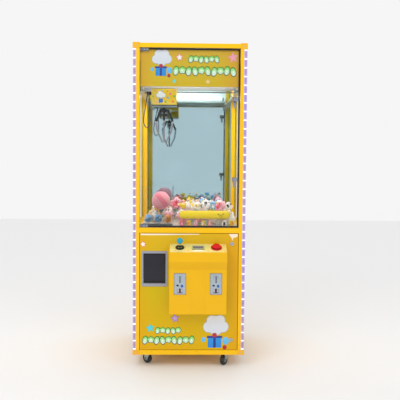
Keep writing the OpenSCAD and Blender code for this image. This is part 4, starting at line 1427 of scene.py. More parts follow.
def stars(motifs: Motifs, suffix: str, *spots: tuple) -> None:
    """Adds stars with rims.

    Args:
        motifs: The print that takes them.
        suffix: Ends the inks' names.
        spots: For each, (x, z, radius, colour name, inner colour, rim colour).
    """
    for x, z, radius, name, inner, rim in spots:
        for prefix, colour, reach in (("star_rim", rim, radius * 1.24), ("star", inner, radius)):
            ink = Ink(f"{prefix}_{name}_{suffix}", colour, colour, (z - radius) * MM,
                      (z + radius) * MM)
            motifs.add(ink, star(x, z, reach, 8))


# ---------- window door ----------


@dataclass
class WindowDoor(Assembly):
    """Glass door with its marquee, black trim, pivots and locks."""

    glass: Extent = extent("door_glass")
    marquee: Extent = extent("marquee_panel")
    fitting: Extent = extent("door_fittings")
    pivot_notch: tuple[float, float] = (-242, 1869)
    pivot_zs: tuple[float, float] = (fitting.low + 24, fitting.high - 24)
    lock_x: float = extent("lock_window_upper").x1 - LOCK_HALF_W
    lock_zs: tuple[float, float] = (extent("lock_window_upper").high - LOCK_RISE,
                                    extent("lock_window_lower").high - LOCK_RISE)

    def marquee_print(self) -> None:
        """Printed panel behind the glass, with its motifs on the front."""
        x0, x1, z0, z1 = (self.marquee.x0, self.marquee.x1, self.marquee.low + 2,
                          self.marquee.high)
        notch_x, notch_z = self.pivot_notch
        face = self.glass.far + 1.1
        panel = Solid()
        panel.prism([(x0, z0), (x1, z0), (x1, z1), (notch_x, z1), self.pivot_notch,
                     (x0, notch_z)], face, face + 0.8)
        made = piece(panel, "marquee_print", "window_door", MARQUEE_PRINT)
        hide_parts("marquee_panel")
        motifs = Motifs("marquee", "window_door", "marquee_print", face, 0.9)
        balloon_bunch(motifs, -166, 1831, 58, "top")
        garland(motifs, -12, 170, 1828, 46, 6, 3, "upper")
        garland(motifs, -102, 270, 1760, 58, 10, 4, "main")
        stars(motifs, "top",
              (-63, 1837, 18, "white", rgb(246, 240, 240), rgb(226, 74, 84)),
              (250, 1839, 24, "pink", rgb(238, 160, 176), rgb(226, 150, 160)),
              (-93, 1700, 11, "teal", rgb(96, 208, 196), rgb(150, 214, 170)),
              (104, 1698, 12, "cream", rgb(236, 208, 140), rgb(226, 190, 110)))
        motifs.build()

    def glass_edges(self) -> None:
        """Green polished edge down the glass's pivot side."""
        edge, inset = self.glass.x0, 0.3
        solid = Solid().block((edge - 0.2, self.glass.near + inset, self.glass.low + 1),
                              (edge + 0.4, self.glass.far - inset, self.glass.high - 1), 0.1)
        piece(solid, "glass_edge", "window_door", GLASS_EDGE)

    def fittings(self) -> None:
        """Cover plates, screws and keyways on the pivots and locks."""
        plates, screws, faces = Solid(), Solid(), Solid()
        for z in self.pivot_zs:
            plates.block((-289.5, 3.1, z - 9.3), (-242.6, 4.6, z + 9.3), 0.6)
            for x in (-267, -251):
                bolt(screws, x, 3.2, z, 4.2)
        ring = [(6.2, 0), (6.2, 1.0), (8.0, 1.5), (10.2, 1.1), (11.2, 0), (11.2, -8.6),
                (6.2, -8.6)]
        for z in self.lock_zs:
            faces.lathe(ring, (self.lock_x, -4.0, z), (0, -1, 0), 36)
            faces.block((self.lock_x + 9, 4.4, z - 12.2), (self.lock_x + 19, 8.1, z + 12.2), 0.8)
        piece(plates, "pivot_covers", "window_door", PATCH)
        piece(screws, "pivot_screws", "window_door", CHROME)
        piece(faces, "window_lock_bezels", "window_door", LOCK_CHROME)
        for name, z in zip(("upper", "lower"), self.lock_zs):
            keyway(f"keyway_window_{name}", f"lock_window_{name}", self.lock_x, -5.5, z)

    def build(self) -> None:
        """Dresses the door's nodes and adds its pieces."""
        self.dress_nodes({
            "door_glass": GLASS, "door_trim": BLACK, "door_fittings": PATCH,
            "lock_window_upper": LOCK_CHROME, "lock_window_lower": LOCK_CHROME})
        self.marquee_print()
        self.glass_edges()
        self.fittings()


# ---------- lower door ----------


@dataclass
class LowerDoor(Assembly):
    """Printed sheet-steel door with the prize door and its locks."""

    lock_x: float = extent("lock_door_upper").x1 - LOCK_HALF_W
    lock_zs: tuple[float, float] = (extent("lock_door_upper").high - LOCK_RISE,
                                    extent("lock_door_lower").high - LOCK_RISE)
    mouth: tuple[float, float, float, float] = (-270, -138, 509, 689)

    def prints(self) -> None:
        """Motifs on the door's face, and a white band along its top edge that is partly a painted
        highlight.
        """
        motifs = Motifs("door", "service_door", "door_print", 0.0, 0.9)
        # The long white band along the top edge is partly the laminate's edge and partly a painted
        # highlight of its gloss; the pointed shape at the right is print.
        white = Ink("door_white", rgb(250, 236, 214), rgb(250, 226, 170), 0.74, 0.81)
        motifs.add(white, [(-286, 806), (-286, 797), (-150, 797.5), (60, 802), (60, 806)],
                   [(236, 806), (240, 797), (250, 786), (256, 764), (262, 782), (287, 791),
                    (287, 806)])
        balloon_bunch(motifs, 162, 254, 76, "low")
        garland(motifs, -200, -46, 225, 44, 5, 3, "low_upper")
        garland(motifs, -276, 36, 167, 54, 9, 3, "low_main")
        stars(motifs, "low",
              (-272, 743, 15, "white", rgb(255, 244, 238), rgb(240, 70, 50)),
              (-81, 299, 20, "purple", rgb(196, 170, 226), rgb(126, 66, 200)),
              (-228, 240, 20, "cyan", rgb(60, 214, 232), rgb(60, 200, 190)))
        motifs.build()

    def prize_door(self) -> None:
        """Flap panel with its lip, and three screws down the frame's right side."""
        x0, x1, z0, z1 = self.mouth
        flap, screws, lip = Solid(), Solid(), Solid()
        flap.block((x0 + 4, 3.2, z0 + 6), (x1 - 4, 4.2, z1 - 9), 0.5)
        lip.block((x0 + 8, 1.6, z0 + 6), (x1 - 8, 4.0, z0 + 14), 0.9)
        for z in (z0 - 8, (z0 + z1) / 2, z1 + 7):
            bolt(screws, x1 + 5.5, -2.9, z, 2.8)
        piece(flap, "flap_face", "prize_flap", BLACK_GLOSS)
        piece(lip, "flap_lip", "prize_flap", BLACK)
        piece(screws, "prize_frame_screws", "service_door", ZINC)

    def locks(self) -> None:
        """Bezels and keyways of the two cam locks."""
        faces = Solid()
        ring = [(6.0, 0), (6.0, 0.7), (8.0, 1.2), (10.4, 0.8), (11.3, 0), (11.3, -4.8),
                (6.0, -4.8)]
        for name, z in zip(("upper", "lower"), self.lock_zs):
            faces.lathe(ring, (self.lock_x, -5.0, z), (0, -1, 0), 36)
            keyway(f"keyway_door_{name}", f"lock_door_{name}", self.lock_x, -6.5, z)
        piece(faces, "door_lock_bezels", "service_door", CHROME)

    def build(self) -> None:
        """Dresses the door's nodes and adds its pieces."""
        self.dress_nodes({
            "lower_door": DOOR_PRINT, "lower_fittings": CHROME, "prize_frame": PRIZE_GREY,
            "prize_flap": BLACK_GLOSS, "lock_door_upper": CHROME, "lock_door_lower": CHROME,
            "cash_box": SHEET})
        self.prints()
        self.prize_door()
        self.locks()


# ---------- console ----------


@dataclass
class Console(Assembly):
    """Control deck with joystick, display and button, and the coin box below."""

    shell: Extent = extent("console")
    middle: float = (shell.x0 + shell.x1) / 2
    width: float = shell.x1 - shell.x0
    deck_z: float = shell.high
    reach: float = -shell.near
    drop: float = 40
    control_s: float = 46
    control_dx: float = 107
    coin_dx: float = 105
    coin_z: float = (extent("coin_selectors").low + extent("coin_selectors").high) / 2
    plate: float = -73
    plate_half: tuple[float, float] = (34, 62)
    guide_w: float = 4.5
    guide_r: float = 10.5
    panel_z: tuple[float, float] = (347, 597)

    def on_deck(self, x: float) -> Matrix:
        """Frame of a point on the deck: z is its normal and y runs up the slope.

        Args:
            x: The point's place to the right.

        Returns:
            The matrix that takes the deck's own axes there.
        """
        angle = math.atan(self.drop / self.reach)
        height = self.deck_z - self.control_s * math.tan(angle)
        return Matrix.Translation((x, -self.control_s, height)) @ Matrix.Rotation(angle, 4, "X")

    def deck(self) -> None:
        """Printed overlay on the deck with its motifs, and the corner screws."""
        half = self.width / 2 - 3
        sheet, art, arc, screws = Solid(), Solid(), Solid(), Solid()
        at = self.on_deck(self.middle) @ Matrix.Rotation(math.radians(-90), 4, "X")
        sheet.prism(rounded(-half, half, -51, 45, 4), -0.35, 0.0).tilt(at)
        piece(sheet, "deck_overlay", "service_door", DECK_PRINT)
        marks = [(-half + 12, 30, 5), (-half + 30, -34, 4), (-52, 26, 4), (-58, -30, 5),
                 (62, 24, 4), (58, -34, 4), (half - 14, 30, 6), (half - 12, -36, 5)]
        for x, z, r in marks:
            art.prism(star(x, z, r), -0.55, -0.3)
        piece(art.tilt(at), "deck_marks", "service_door",
              Ink("mark_orange", rgb(238, 170, 60), rgb(230, 140, 40), 0.70, 0.76))
        rim = [(34 * math.cos(a), -40 + 17 * math.sin(a)) for a in
               (math.pi * k / 16 for k in range(17))]
        arc.prism(rim, -0.6, -0.3)
        piece(arc.tilt(at), "deck_cloud", "service_door",
              Ink("deck_white", rgb(252, 246, 220), rgb(255, 250, 232), 0.70, 0.76))
        for x in (-half + 6, half - 6):
            for z in (-45, 39):
                bolt(screws, x, -0.35, z, 2.4)
        piece(screws.tilt(at), "deck_screws", "service_door", ZINC)

    def joystick(self) -> None:
        """Ball and dust boot of the joystick."""
        at = self.on_deck(self.middle - self.control_dx)
        ball, washer = Solid(), Solid()
        profile = [(18 * math.sin(a), 47 - 18 * math.cos(a)) for a in
                   (math.pi * (0.12 + 0.88 * k / 22) for k in range(23))]
        ball.lathe([*profile[:-1], (0, 65)], (0, 0, 0), (0, 0, 1), 40)
        boot = [(12.5, 6.4), (15.0, 6.6), (20.0, 6.0), (24.5, 5.2), (26.4, 3.4), (26.4, 0.2),
                (25.8, 0.2), (25.8, 3.2), (24.0, 5.0), (12.5, 5.2)]
        washer.lathe([*boot, boot[0]], (0, 0, 0), (0, 0, 1), 44)
        piece(ball.tilt(at), "joystick_ball", "joystick_stick", TEAL)
        piece(washer.tilt(at), "joystick_washer", "service_door", BLACK_GLOSS)

    def display(self) -> None:
        """Credit display: bezel, dark window and unlit segments."""
        at = self.on_deck(self.middle) @ Matrix.Rotation(math.radians(-90), 4, "X")
        bezel, window, bars = Solid(), Solid(), Solid()
        bezel.prism(rounded(-35.4, 35.4, -21.3, 21.3, 3), -3.6, -2.9)
        window.prism(rounded(-30, 30, -13, 12, 1.5), -4.1, -3.5)
        for digit in range(4):
            x = -20 + digit * 13.5
            for dx, z0, z1 in ((-3.5, 0.8, 7), (-3.5, -7, -0.8), (3.5, 0.8, 7), (3.5, -7, -0.8)):
                bars.block((x + dx - 0.6, -4.3, z0), (x + dx + 0.6, -4.0, z1), 0.1)
            for z in (-7.6, 0, 7.6):
                bars.block((x - 2.6, -4.3, z - 0.6), (x + 2.6, -4.0, z + 0.6), 0.1)
        piece(bezel.tilt(at), "display_bezel", "service_door",
              Plastic("bezel_green", rgb(178, 186, 128), 0.35))
        piece(window.tilt(at), "display_window", "service_door",
              Plastic("window_smoke", rgb(112, 112, 132), 0.12, 0.6))
        piece(bars.tilt(at), "display_segments", "service_door",
              Plastic("segment_grey", rgb(84, 82, 98), 0.3))

    def button(self) -> None:
        """Ring round the push button's dome."""
        at = self.on_deck(self.middle + self.control_dx)
        ring = [(27.8, 0.2), (27.8, 6.6), (29.0, 7.4), (31.6, 6.4), (32.3, 4.0), (32.3, 0.2)]
        piece(Solid().lathe([*ring, ring[0]], (0, 0, 0), (0, 0, 1), 48).tilt(at),
              "button_ring", "service_door", RED_DOME)

    def coins(self) -> None:
        """Detail on each coin selector: border, slot and its guide, return lip, screws; the black
        slot and return opening are painted shade.
        """
        border, slots, linings, screws, guides = (Solid() for _ in range(5))
        face, z = self.plate, self.coin_z
        half_x, half_z = self.plate_half
        outer = self.guide_r + self.guide_w
        for side in (-1, 1):
            x = self.middle + side * self.coin_dx
            for z0 in (z + half_z - 4, z - half_z):
                border.block((x - half_x, face - 1.2, z0), (x + half_x, face + 0.2, z0 + 4), 0.6)
            for x0 in (x - half_x, x + half_x - 3.5):
                border.block((x0, face - 1.2, z - half_z), (x0 + 3.5, face + 0.2, z + half_z), 0.6)
            guide = [(x + r * math.cos(a), z + 12 + r * math.sin(a))
                     for r, order in ((outer, 1), (self.guide_r, -1))
                     for a in [math.pi * (1 + k / 12) for k in range(13)][::order]]
            guides.prism(guide, face - 4.4, face + 0.2)
            for x0 in (x - outer, x + self.guide_r):
                guides.block((x0, face - 4.4, z + 12), (x0 + self.guide_w, face + 0.2, z + 46),
                             0.8)
            # Black bar in front of the guide: painted shade standing for the coin slot's opening.
            slots.block((x - 2.6, face - 5.6, z + 8), (x + 2.6, face - 4.9, z + 45), 0.1)
            # Black block inside the return pocket: painted shade of its dark opening.
            slots.block((x - 5, face + 3.2, z - 51), (x + 5, face + 4.4, z - 27), 0.3)
            linings.block((x - 16.6, face + 4, z - 52), (x + 16.6, face + 5.5, z - 27), 0.2)
            linings.block((x - 14, face - 5, z - 58), (x + 14, face + 0.3, z - 53), 1.6)
            slots.block((x - 20, face - 1.6, z - 14), (x - 8, face - 0.2, z - 4), 0.6)
            for dx in (4.5 - half_x, half_x - 4.5):
                for dz in (4.5 - half_z, half_z - 4.5):
                    bolt(screws, x + dx, face - 1.7, z + dz, 2.8)
        piece(border, "coin_borders", "service_door", LOCK_CHROME)
        piece(slots, "coin_slots", "service_door", BLACK)
        piece(linings, "coin_return_lips", "service_door",
              Metal("rose_metal", rgb(196, 186, 198), 0.15))
        piece(guides, "coin_guides", "service_door", CHROME)
        piece(screws, "coin_screws", "service_door", CHROME)

    def coin_box(self) -> None:
        """Raised door in the middle of the coin box front."""
        low, high = self.panel_z
        panel = Solid().block((self.middle - 45, -70.6, low), (self.middle + 45, -69.8, high),
                              0.35)
        piece(panel, "coin_box_panel", "service_door", CONSOLE_PAINT)

    def build(self) -> None:
        """Dresses the console's nodes and adds its pieces."""
        self.dress_nodes({
            "console": CONSOLE_PAINT, "coin_selectors": COIN_CHROME, "deck_fittings": BLACK,
            "coin_button_left": BLUE_KEY, "coin_button_right": BLUE_KEY,
            "joystick_gimbal": ZINC, "joystick_stick": CHROME, "push_button": RED_DOME})
        self.deck()
        self.joystick()
        self.display()
        self.button()
        self.coins()
        self.coin_box()


# ---------- gantry and claw ----------


@dataclass
class Gantry(Assembly):
    """Bridge, trolley, winch and claw with their motors, print and fasteners."""

    motor: Point = (-265.5, 215, 1659)
    cover: Extent = extent("trolley_cover")
    crown: Point = ((cover.x0 + cover.x1) / 2, (cover.near + cover.far) / 2,
                    extent("claw_body").high - 14)
    finger_angles: tuple[float, ...] = (150, 30, -90)
    arm: tuple[tuple[float, float], ...] = ((35, -19), (41, -32), (49, -46), (56, -60))
    knee: tuple[float, float] = (57.5, -71)
    band_drops: tuple[float, float] = (22, 46)

    def bridge(self) -> None:
        """Motor sleeve and end plate screws."""
        sleeve, screws = Solid(), Solid()
        ring = [(18.15, 0), (18.9, 0.8), (18.9, 29), (18.15, 29.8)]
        sleeve.lathe([*ring, (18.05, 29.8), (18.05, 0), ring[0]], self.motor, (1, 0, 0), 36)
        for side in (-1, 1):
            for depth in (98, 228):
                bolt(screws, side * 269.8, depth, 1679, 3.6, (-side, 0, 0))
        piece(sleeve, "bridge_motor_sleeve", "bridge", BLACK)
        piece(screws, "bridge_screws", "bridge", ZINC)

    def claw(self) -> None:
        """Black sleeves on the fingers' upper arms, knee joints and the coil's bands."""
        crown = Vector(self.crown)
        up = Vector((0, 0, 1))
        for number, azimuth in enumerate(self.finger_angles, 1):
            way = Vector((math.cos(math.radians(azimuth)), math.sin(math.radians(azimuth)), 0))
            across = way.cross(up)
            reach, drop = self.knee
            arm = Solid().tube([tuple(crown + way * r + up * dz) for r, dz in self.arm], 7.0, 12)
            knee = Solid().lathe([(0, 0), (4.2, 0), (5.2, 1), (5.2, 11), (4.2, 12), (0, 12)],
                                 tuple(crown + up * drop + way * reach - across * 6),
                                 tuple(across), 20)
            piece(arm, f"finger_sleeve_{number}", f"claw_finger_{number}", BLACK)
            piece(knee, f"finger_knee_{number}", f"claw_finger_{number}", CHROME)
        band = [(16.15, 0), (17.2, 0.8), (17.2, 5.2), (16.15, 6), (16.15, 0)]
        bands = Solid()
        for drop in self.band_drops:
            bands.lathe(band, tuple(crown - up * drop), tuple(up), 32)
        piece(bands, "coil_bands", "claw", BRUSHED)

    def cover_print(self) -> None:
        """Motifs on the front of the trolley's cover, and its corner screws."""
        x0, x1, z0, z1 = self.cover.x0, self.cover.x1, self.cover.low, self.cover.high
        face = self.cover.near
        motifs = Motifs("cover", "trolley", "sheet_metal", face, 0.3)
        low, high = z0 * MM, z1 * MM
        puff = Ink("cover_cloud", rgb(246, 248, 250), rgb(206, 228, 240), low, high)
        rim = Ink("cover_rim", rgb(96, 190, 226), rgb(40, 140, 206), low, high)
        puffs = ((0, 0, 0.9), (-0.8, -0.2, 0.6), (0.85, -0.15, 0.62), (-0.3, 0.6, 0.55))
        for ink, grow in ((rim, 1.12), (puff, 1.0)):
            motifs.add(ink, puffed(x0 + 56, z0 + 60, 19, grow, puffs))
        motifs.add(Ink("cover_gift", rgb(60, 170, 230), rgb(20, 90, 200), low, high),
                   rounded(x0 + 44, x0 + 68, z0 + 14, z0 + 38, 2))
        spots = {"cover_orange": (rgb(244, 130, 30), ((22, 84, 6), (128, 20, 7), (96, 82, 5))),
                 "cover_pink": (rgb(240, 110, 150), ((112, 66, 7), (30, 14, 5), (140, 86, 4))),
                 "cover_green": (rgb(90, 190, 80), ((84, 18, 6), (136, 52, 6), (10, 50, 5))),
                 "cover_sky": (rgb(70, 180, 230), ((98, 42, 9), (66, 84, 5), (48, 12, 4)))}
        for name, (colour, dots) in spots.items():
            ink = Ink(name, colour, scaled(colour, 0.85), low, high)
            motifs.add(ink, *[star(x0 + dx, z0 + dz, r, 9 * dx) if dx % 4 else
                              circle(x0 + dx, z0 + dz, r) for dx, dz, r in dots])
        motifs.build()
        screws = Solid()
        for x in (x0 + 6, x1 - 6):
            for z in (z0 + 6, z1 - 6):
                bolt(screws, x, face, z, 2.6)
        piece(screws, "cover_corner_screws", "trolley", ZINC)
        skirt = Solid().block((x0, face - 0.8, z0 - 4), (x1, face + 2, z0 + 1), 0.5)
        piece(skirt, "cover_skirt", "trolley", BLACK)

    def build(self) -> None:
        """Dresses the gantry's nodes and adds its pieces."""
        self.dress_nodes({
            "bridge_beam": BRUSHED, "bridge_axle": ZINC,
            "trolley_frame": BRUSHED, "trolley_axle": ZINC, "trolley_cover": COVER_PRINT,
            "winch_spool": NYLON, "hoist_lines": TWINE, "claw_body": BLACK,
            "claw_plunger": BLACK_GLOSS,
            "claw_finger_1": FINGER, "claw_finger_2": FINGER, "claw_finger_3": FINGER})
        self.bridge()
        self.claw()
        self.cover_print()


# ---------- casters ----------


@dataclass
class Casters(Assembly):
    """Four swivel casters: forks, tyres and hub discs that roll with the wheels."""

    spots: tuple[tuple[float, float, float], ...] = (
        (-231, 75, 140), (231, 75, 235), (-231, 625, 200), (231, 625, 160))
    radius: float = extent("caster_wheel_1").high / 2
    trail: float = 26
    face: float = 11

    def hub(self, number: int, x: float, depth: float, yaw: float) -> None:
        """Disc on each face of a wheel.

        Args:
            number: The wheel's number.
            x: Place of the swivel to the right of the middle.
            depth: Place of the swivel behind the front plane.
            yaw: Direction of the trail, in degrees.
        """
        along = Vector((math.cos(math.radians(yaw)), math.sin(math.radians(yaw)), 0))
        across = along.cross(Vector((0, 0, 1)))
        centre = Vector((x, depth, self.radius)) + along * self.trail
        profile = [(5.2, 0.1), (15, 0.1), (15.6, 0.5), (14.6, 0.9), (6, 0.9), (5.2, 0.1)]
        solid = Solid()
        for side in (-1, 1):
            solid.lathe(profile, tuple(centre + across * side * self.face),
                        tuple(across * side), 28)
        piece(solid, f"wheel_hub_{number}", f"caster_wheel_{number}", HUB)

    def build(self) -> None:
        """Dresses the casters and adds their hub discs."""
        for number, spot in enumerate(self.spots, 1):
            self.dress_nodes({f"caster_fork_{number}": ZINC, f"caster_wheel_{number}": TYRE})
            self.hub(number, *spot)


# ---------- plush toys ----------


@dataclass(frozen=True)
class Lump:
    """One stuffed part of a toy in units of the toy's radius."""

    centre: Point
    radii: Point
    tone: int = 0
    mirrored: bool = False

    def copies(self) -> list["Lump"]:
        """This lump, and its mirror image where it has one.

        Returns:
            One lump or two.
        """
        x, y, z = self.centre
        twin = [Lump((-x, y, z), self.radii, self.tone)] if self.mirrored else []
        return [self, *twin]


class ToyKind(Enum):
    """Plain animal shapes, facing the front: lumps, with tone 1 in the second fabric."""

    BEAR = (Lump((0, 0.08, -0.28), (0.62, 0.56, 0.60)), Lump((0, -0.04, 0.40), (0.58, 0.50, 0.48)),
            Lump((0.44, 0.02, 0.76), (0.20, 0.12, 0.20), 0, True),
            Lump((0, -0.48, 0.28), (0.25, 0.18, 0.19), 1),
            Lump((0.60, -0.22, -0.10), (0.22, 0.24, 0.34), 0, True),
            Lump((0.40, -0.52, -0.62), (0.27, 0.34, 0.25), 0, True),
            Lump((0, -0.36, -0.26), (0.36, 0.22, 0.40), 1))
    RABBIT = (Lump((0, 0.08, -0.36), (0.60, 0.54, 0.56)),
              Lump((0, -0.06, 0.22), (0.54, 0.48, 0.44)),
              Lump((0.26, 0.06, 0.72), (0.16, 0.10, 0.40), 0, True),
              Lump((0.26, -0.03, 0.72), (0.09, 0.06, 0.28), 1, True),
              Lump((0.24, -0.45, 0.10), (0.16, 0.13, 0.13), 1, True),
              Lump((0.54, -0.30, -0.20), (0.19, 0.26, 0.24), 0, True),
              Lump((0.36, -0.56, -0.68), (0.24, 0.34, 0.22), 0, True),
              Lump((0, 0.66, -0.50), (0.22, 0.20, 0.22), 1))
    CHICK = (Lump((0, 0.04, -0.22), (0.78, 0.72, 0.70)), Lump((0, -0.10, 0.40), (0.60, 0.54, 0.50)),
             Lump((0, -0.62, 0.32), (0.17, 0.18, 0.10), 1),
             Lump((0.74, 0.06, -0.16), (0.16, 0.36, 0.32), 0, True),
             Lump((0.26, -0.52, -0.82), (0.20, 0.28, 0.12), 1, True),
             Lump((0, 0.02, 0.92), (0.10, 0.16, 0.12)))
    CAT = (Lump((0, 0.10, -0.32), (0.58, 0.60, 0.54)), Lump((0, -0.06, 0.34), (0.64, 0.50, 0.46)),
           Lump((0.42, 0, 0.70), (0.17, 0.09, 0.24), 0, True),
           Lump((0.12, -0.50, 0.20), (0.16, 0.14, 0.12), 1, True),
           Lump((0.30, -0.56, -0.56), (0.20, 0.34, 0.30), 0, True),
           Lump((0, -0.34, -0.34), (0.34, 0.26, 0.36), 1),
           Lump((0.56, 0.46, -0.50), (0.18, 0.40, 0.18)))
    PUP = (Lump((0, 0.10, -0.30), (0.62, 0.62, 0.56)), Lump((0, -0.10, 0.36), (0.54, 0.54, 0.48)),
           Lump((0.56, -0.04, 0.30), (0.15, 0.24, 0.38), 1, True),
           Lump((0, -0.58, 0.22), (0.26, 0.22, 0.20), 1),
           Lump((0.38, -0.50, -0.60), (0.24, 0.36, 0.26), 0, True),
           Lump((0.62, 0.16, -0.44), (0.22, 0.30, 0.30), 0, True))


@dataclass
class Toys(Assembly):
    """Heap of stuffed animals with a long bolster in front and a big ball on top."""

    half_open: float = extent("prize_bed").x1
    bed_z: float = extent("prize_bed").high
    large: float = 47
    gap: float = 0.3
    pitch: float = 95
    row_y: float = 156
    top: float = 45
    columns: int = 6
    rows: int = 6
    fill: tuple[float, float] = (958.6, 21.5)
    lean: tuple[float, float, float] = (140, 964.5, 29)
    gap_xs: tuple[float, ...] = (-259.8, -196.4, -133.0)
    gap_row: tuple[float, float, float] = (267.5, 872.5, 31.2)
    front: tuple[float, float, float, float] = (-45, 74, 862.3, 21)
    front_pitch: float = 43
    chute_x1: float = -97
    chute_y1: float = 236
    ball: tuple[float, float] = (4.5, 2.5)
    ball_r: float = 64
    bolster: tuple[float, float, float, float, float] = (-66, 252, 74, 912.6, 29)
    eye: Point = (0.20, 0.16, 0.062)
    nose: tuple[float, float] = (-0.02, 0.075)
    soft_from: float = 0.78
    soft_give: float = 0.20
    moulds: dict[ToyKind, bpy.types.Mesh] = field(default_factory=dict)

    def column_x(self, column: float) -> float:
        """Place of a column of large toys, counted from the right."""
        return self.half_open - self.large - 3 - column * self.pitch

    def rest_z(self) -> float:
        """Height of a large toy's middle."""
        return self.bed_z + self.large + self.gap

    def pocket(self, radius: float) -> float:
        """Height at which a toy of that radius rests on four large ones."""
        reach = radius + self.large + self.gap
        return self.rest_z() + math.sqrt(reach ** 2 - self.pitch ** 2 / 2)

    def clear(self, row: int, column: int) -> bool:
        """Whether a large toy there stays clear of the chute."""
        beside = self.column_x(column) - self.large > self.chute_x1
        return beside or self.row_y + row * self.pitch - self.large > self.chute_y1

    def mould(self, kind: ToyKind) -> bpy.types.Mesh:
        """Mesh of one kind in a ball of radius 1, with eyes and a nose.

        Args:
            kind: The animal.

        Returns:
            A mesh whose three material slots are body, second fabric and beads.
        """
        if kind in self.moulds:
            return self.moulds[kind]
        lumps = [copy for lump in kind.value for copy in lump.copies()]
        solid = Solid()
        for lump in lumps:
            solid.ellipsoid(lump.centre, lump.radii)
        data = bpy.data.meshes.new("mould_" + kind.name.lower())
        solid.mesh.to_mesh(data)
        solid.mesh.free()
        shaped = remeshed(data, 0.055, 4)
        start, give = self.soft_from, self.soft_give
        for vert in shaped.vertices:
            reach = vert.co.length
            if reach > start:
                vert.co *= (start + give * math.tanh((reach - start) / give)) / reach
        for polygon in shaped.polygons:
            spot = polygon.center
            depths = [(Vector((spot - Vector(lump.centre))[i] / lump.radii[i] for i in
                              range(3)).length - 0.10 * lump.tone, lump.tone) for lump in lumps]
            polygon.material_index = min(depths)[1]
        head = lumps[1]
        mesh = bmesh.new()
        mesh.from_mesh(shaped)
        eye_x, eye_dz, eye_r = self.eye
        beads = [(x, head.centre[2] + eye_dz, eye_r) for x in (eye_x, -eye_x)]
        if kind is not ToyKind.CHICK:
            beads.append((0.0, head.centre[2] + self.nose[0], self.nose[1]))
        for x, z, radius in beads:
            touching = [v.co.y for v in mesh.verts if abs(v.co.x - x) < 0.06
                        and abs(v.co.z - z) < 0.06 and v.co.y < 0]
            y = min(touching, default=-0.6) + radius * 0.25
            known = set(mesh.faces)
            bmesh.ops.create_icosphere(mesh, subdivisions=2, radius=radius,
                                       matrix=Matrix.Translation((x, y, z)))
            for face in set(mesh.faces) - known:
                face.material_index = 2
        mesh.to_mesh(shaped)
        mesh.free()
        self.moulds[kind] = shaped
        return shaped

    def toy(self, name: str, kind: ToyKind, centre: Point, radius: float, turn: Matrix,
            finishes: tuple[Finish, Finish]) -> bpy.types.Object:
        """Makes one toy.

        Args:
            name: Its name.
            kind: The animal.
            centre: Its middle.
            radius: Radius of the ball that it fills.
            turn: The way that it faces.
            finishes: Its body fabric and second fabric.

        Returns:
            The object.
        """
        data = self.mould(kind).copy()
        data.name = name
        data.transform(Matrix.Translation(place(*centre)) @ turn
                       @ Matrix.Scale(radius * 0.985 * MM, 4))
        data.shade_smooth()
        made = bpy.data.objects.new(name, data)
        bpy.context.scene.collection.objects.link(made)
        for finish in (*finishes, BEAD):
            data.materials.append(finish.material())
        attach(made, "cabinet")
        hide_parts("plush_animals")
        LOG.info("toy %s, a %s", name, kind.name.lower())
        return made

    def spots(self) -> list[tuple[str, Point, float]]:
        """Places of the toys that lie every way.

        Returns:
            For each, its name, its middle and its radius.
        """
        found: list[tuple[str, Point, float]] = []

        def add(name: str, row: float, column: float, z: float, radius: float) -> None:
            """Adds a toy at a place of the grid."""
            found.append((name, (self.column_x(column), self.row_y + row * self.pitch, z), radius))

        def from_ball(row: float, column: float) -> float:
            """Distance from the big ball, in places of the grid."""
            return math.hypot(column - self.ball[0], row - self.ball[1])

        for row in range(self.rows):
            for column in range(self.columns):
                if self.clear(row, column):
                    add(f"toy_r{row}c{column}", row, column, self.rest_z(), self.large)
        for row in range(self.rows - 1):
            for column in range(self.columns - 1):
                if self.clear(row, column + 1) and from_ball(row + 0.5, column + 0.5) > 1.1:
                    add(f"toy_top_r{row}c{column}", row + 0.5, column + 0.5,
                        self.pocket(self.top), self.top)
        for row in range(1, self.rows - 1):
            for column in range(1, self.columns - 1):
                if self.clear(row - 1, column + 1) and from_ball(row, column) > 1.2:
                    add(f"toy_fill_r{row}c{column}", row, column, *self.fill)
        lean_depth, lean_z, lean_r = self.lean
        for column in range(4):
            middle = (self.column_x(column) - 3, lean_depth, lean_z)
            found.append((f"toy_lean_c{column}", middle, lean_r))
        gap_depth, gap_z, gap_r = self.gap_row
        for k, x in enumerate(self.gap_xs, 1):
            found.append((f"toy_gap_{k}", (x, gap_depth, gap_z), gap_r))
        return found

    def heap(self) -> None:
        """Large toys on the bed, smaller ones in their hollows and in the gaps."""
        rng = random.Random(7)
        for name, centre, radius in self.spots():
            kind = rng.choice(list(ToyKind))
            turn = (Matrix.Rotation(math.radians(rng.uniform(-70, 70)), 4, "Z")
                    @ Matrix.Rotation(math.radians(rng.uniform(-75, 25)), 4, "X")
                    @ Matrix.Rotation(math.radians(rng.uniform(-50, 50)), 4, "Y"))
            pool = HEAP_LEFT if centre[0] < 0 else HEAP_RIGHT
            if name.startswith("toy_gap"):
                pool = GAP_ROW
            self.toy(name, kind, centre, radius, turn, rng.choice(pool))
        first, depth, z, radius = self.front
        for k, finishes in enumerate(FRONT_ROW):
            turn = Matrix.Rotation(math.radians(rng.uniform(-35, 35)), 4, "Z")
            self.toy(f"toy_front_{k + 1}", rng.choice(list(ToyKind)),
                     (first + self.front_pitch * k, depth, z), radius, turn, finishes)

    def stuffed(self, solid: Solid, name: str, finish: Finish, node: str,
                limit: float) -> None:
        """A piece filled by a cloth simulation, standing for one frame node.

        Args:
            solid: The cover before it is filled, a little small.
            name: Its name.
            finish: Its fabric.
            node: The node that it replaces.
            limit: Farthest that a point may move, in millimetres.
        """
        made = piece(solid, name, "cabinet", finish, 180)
        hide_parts(node)
        inflate(made, limit * MM)

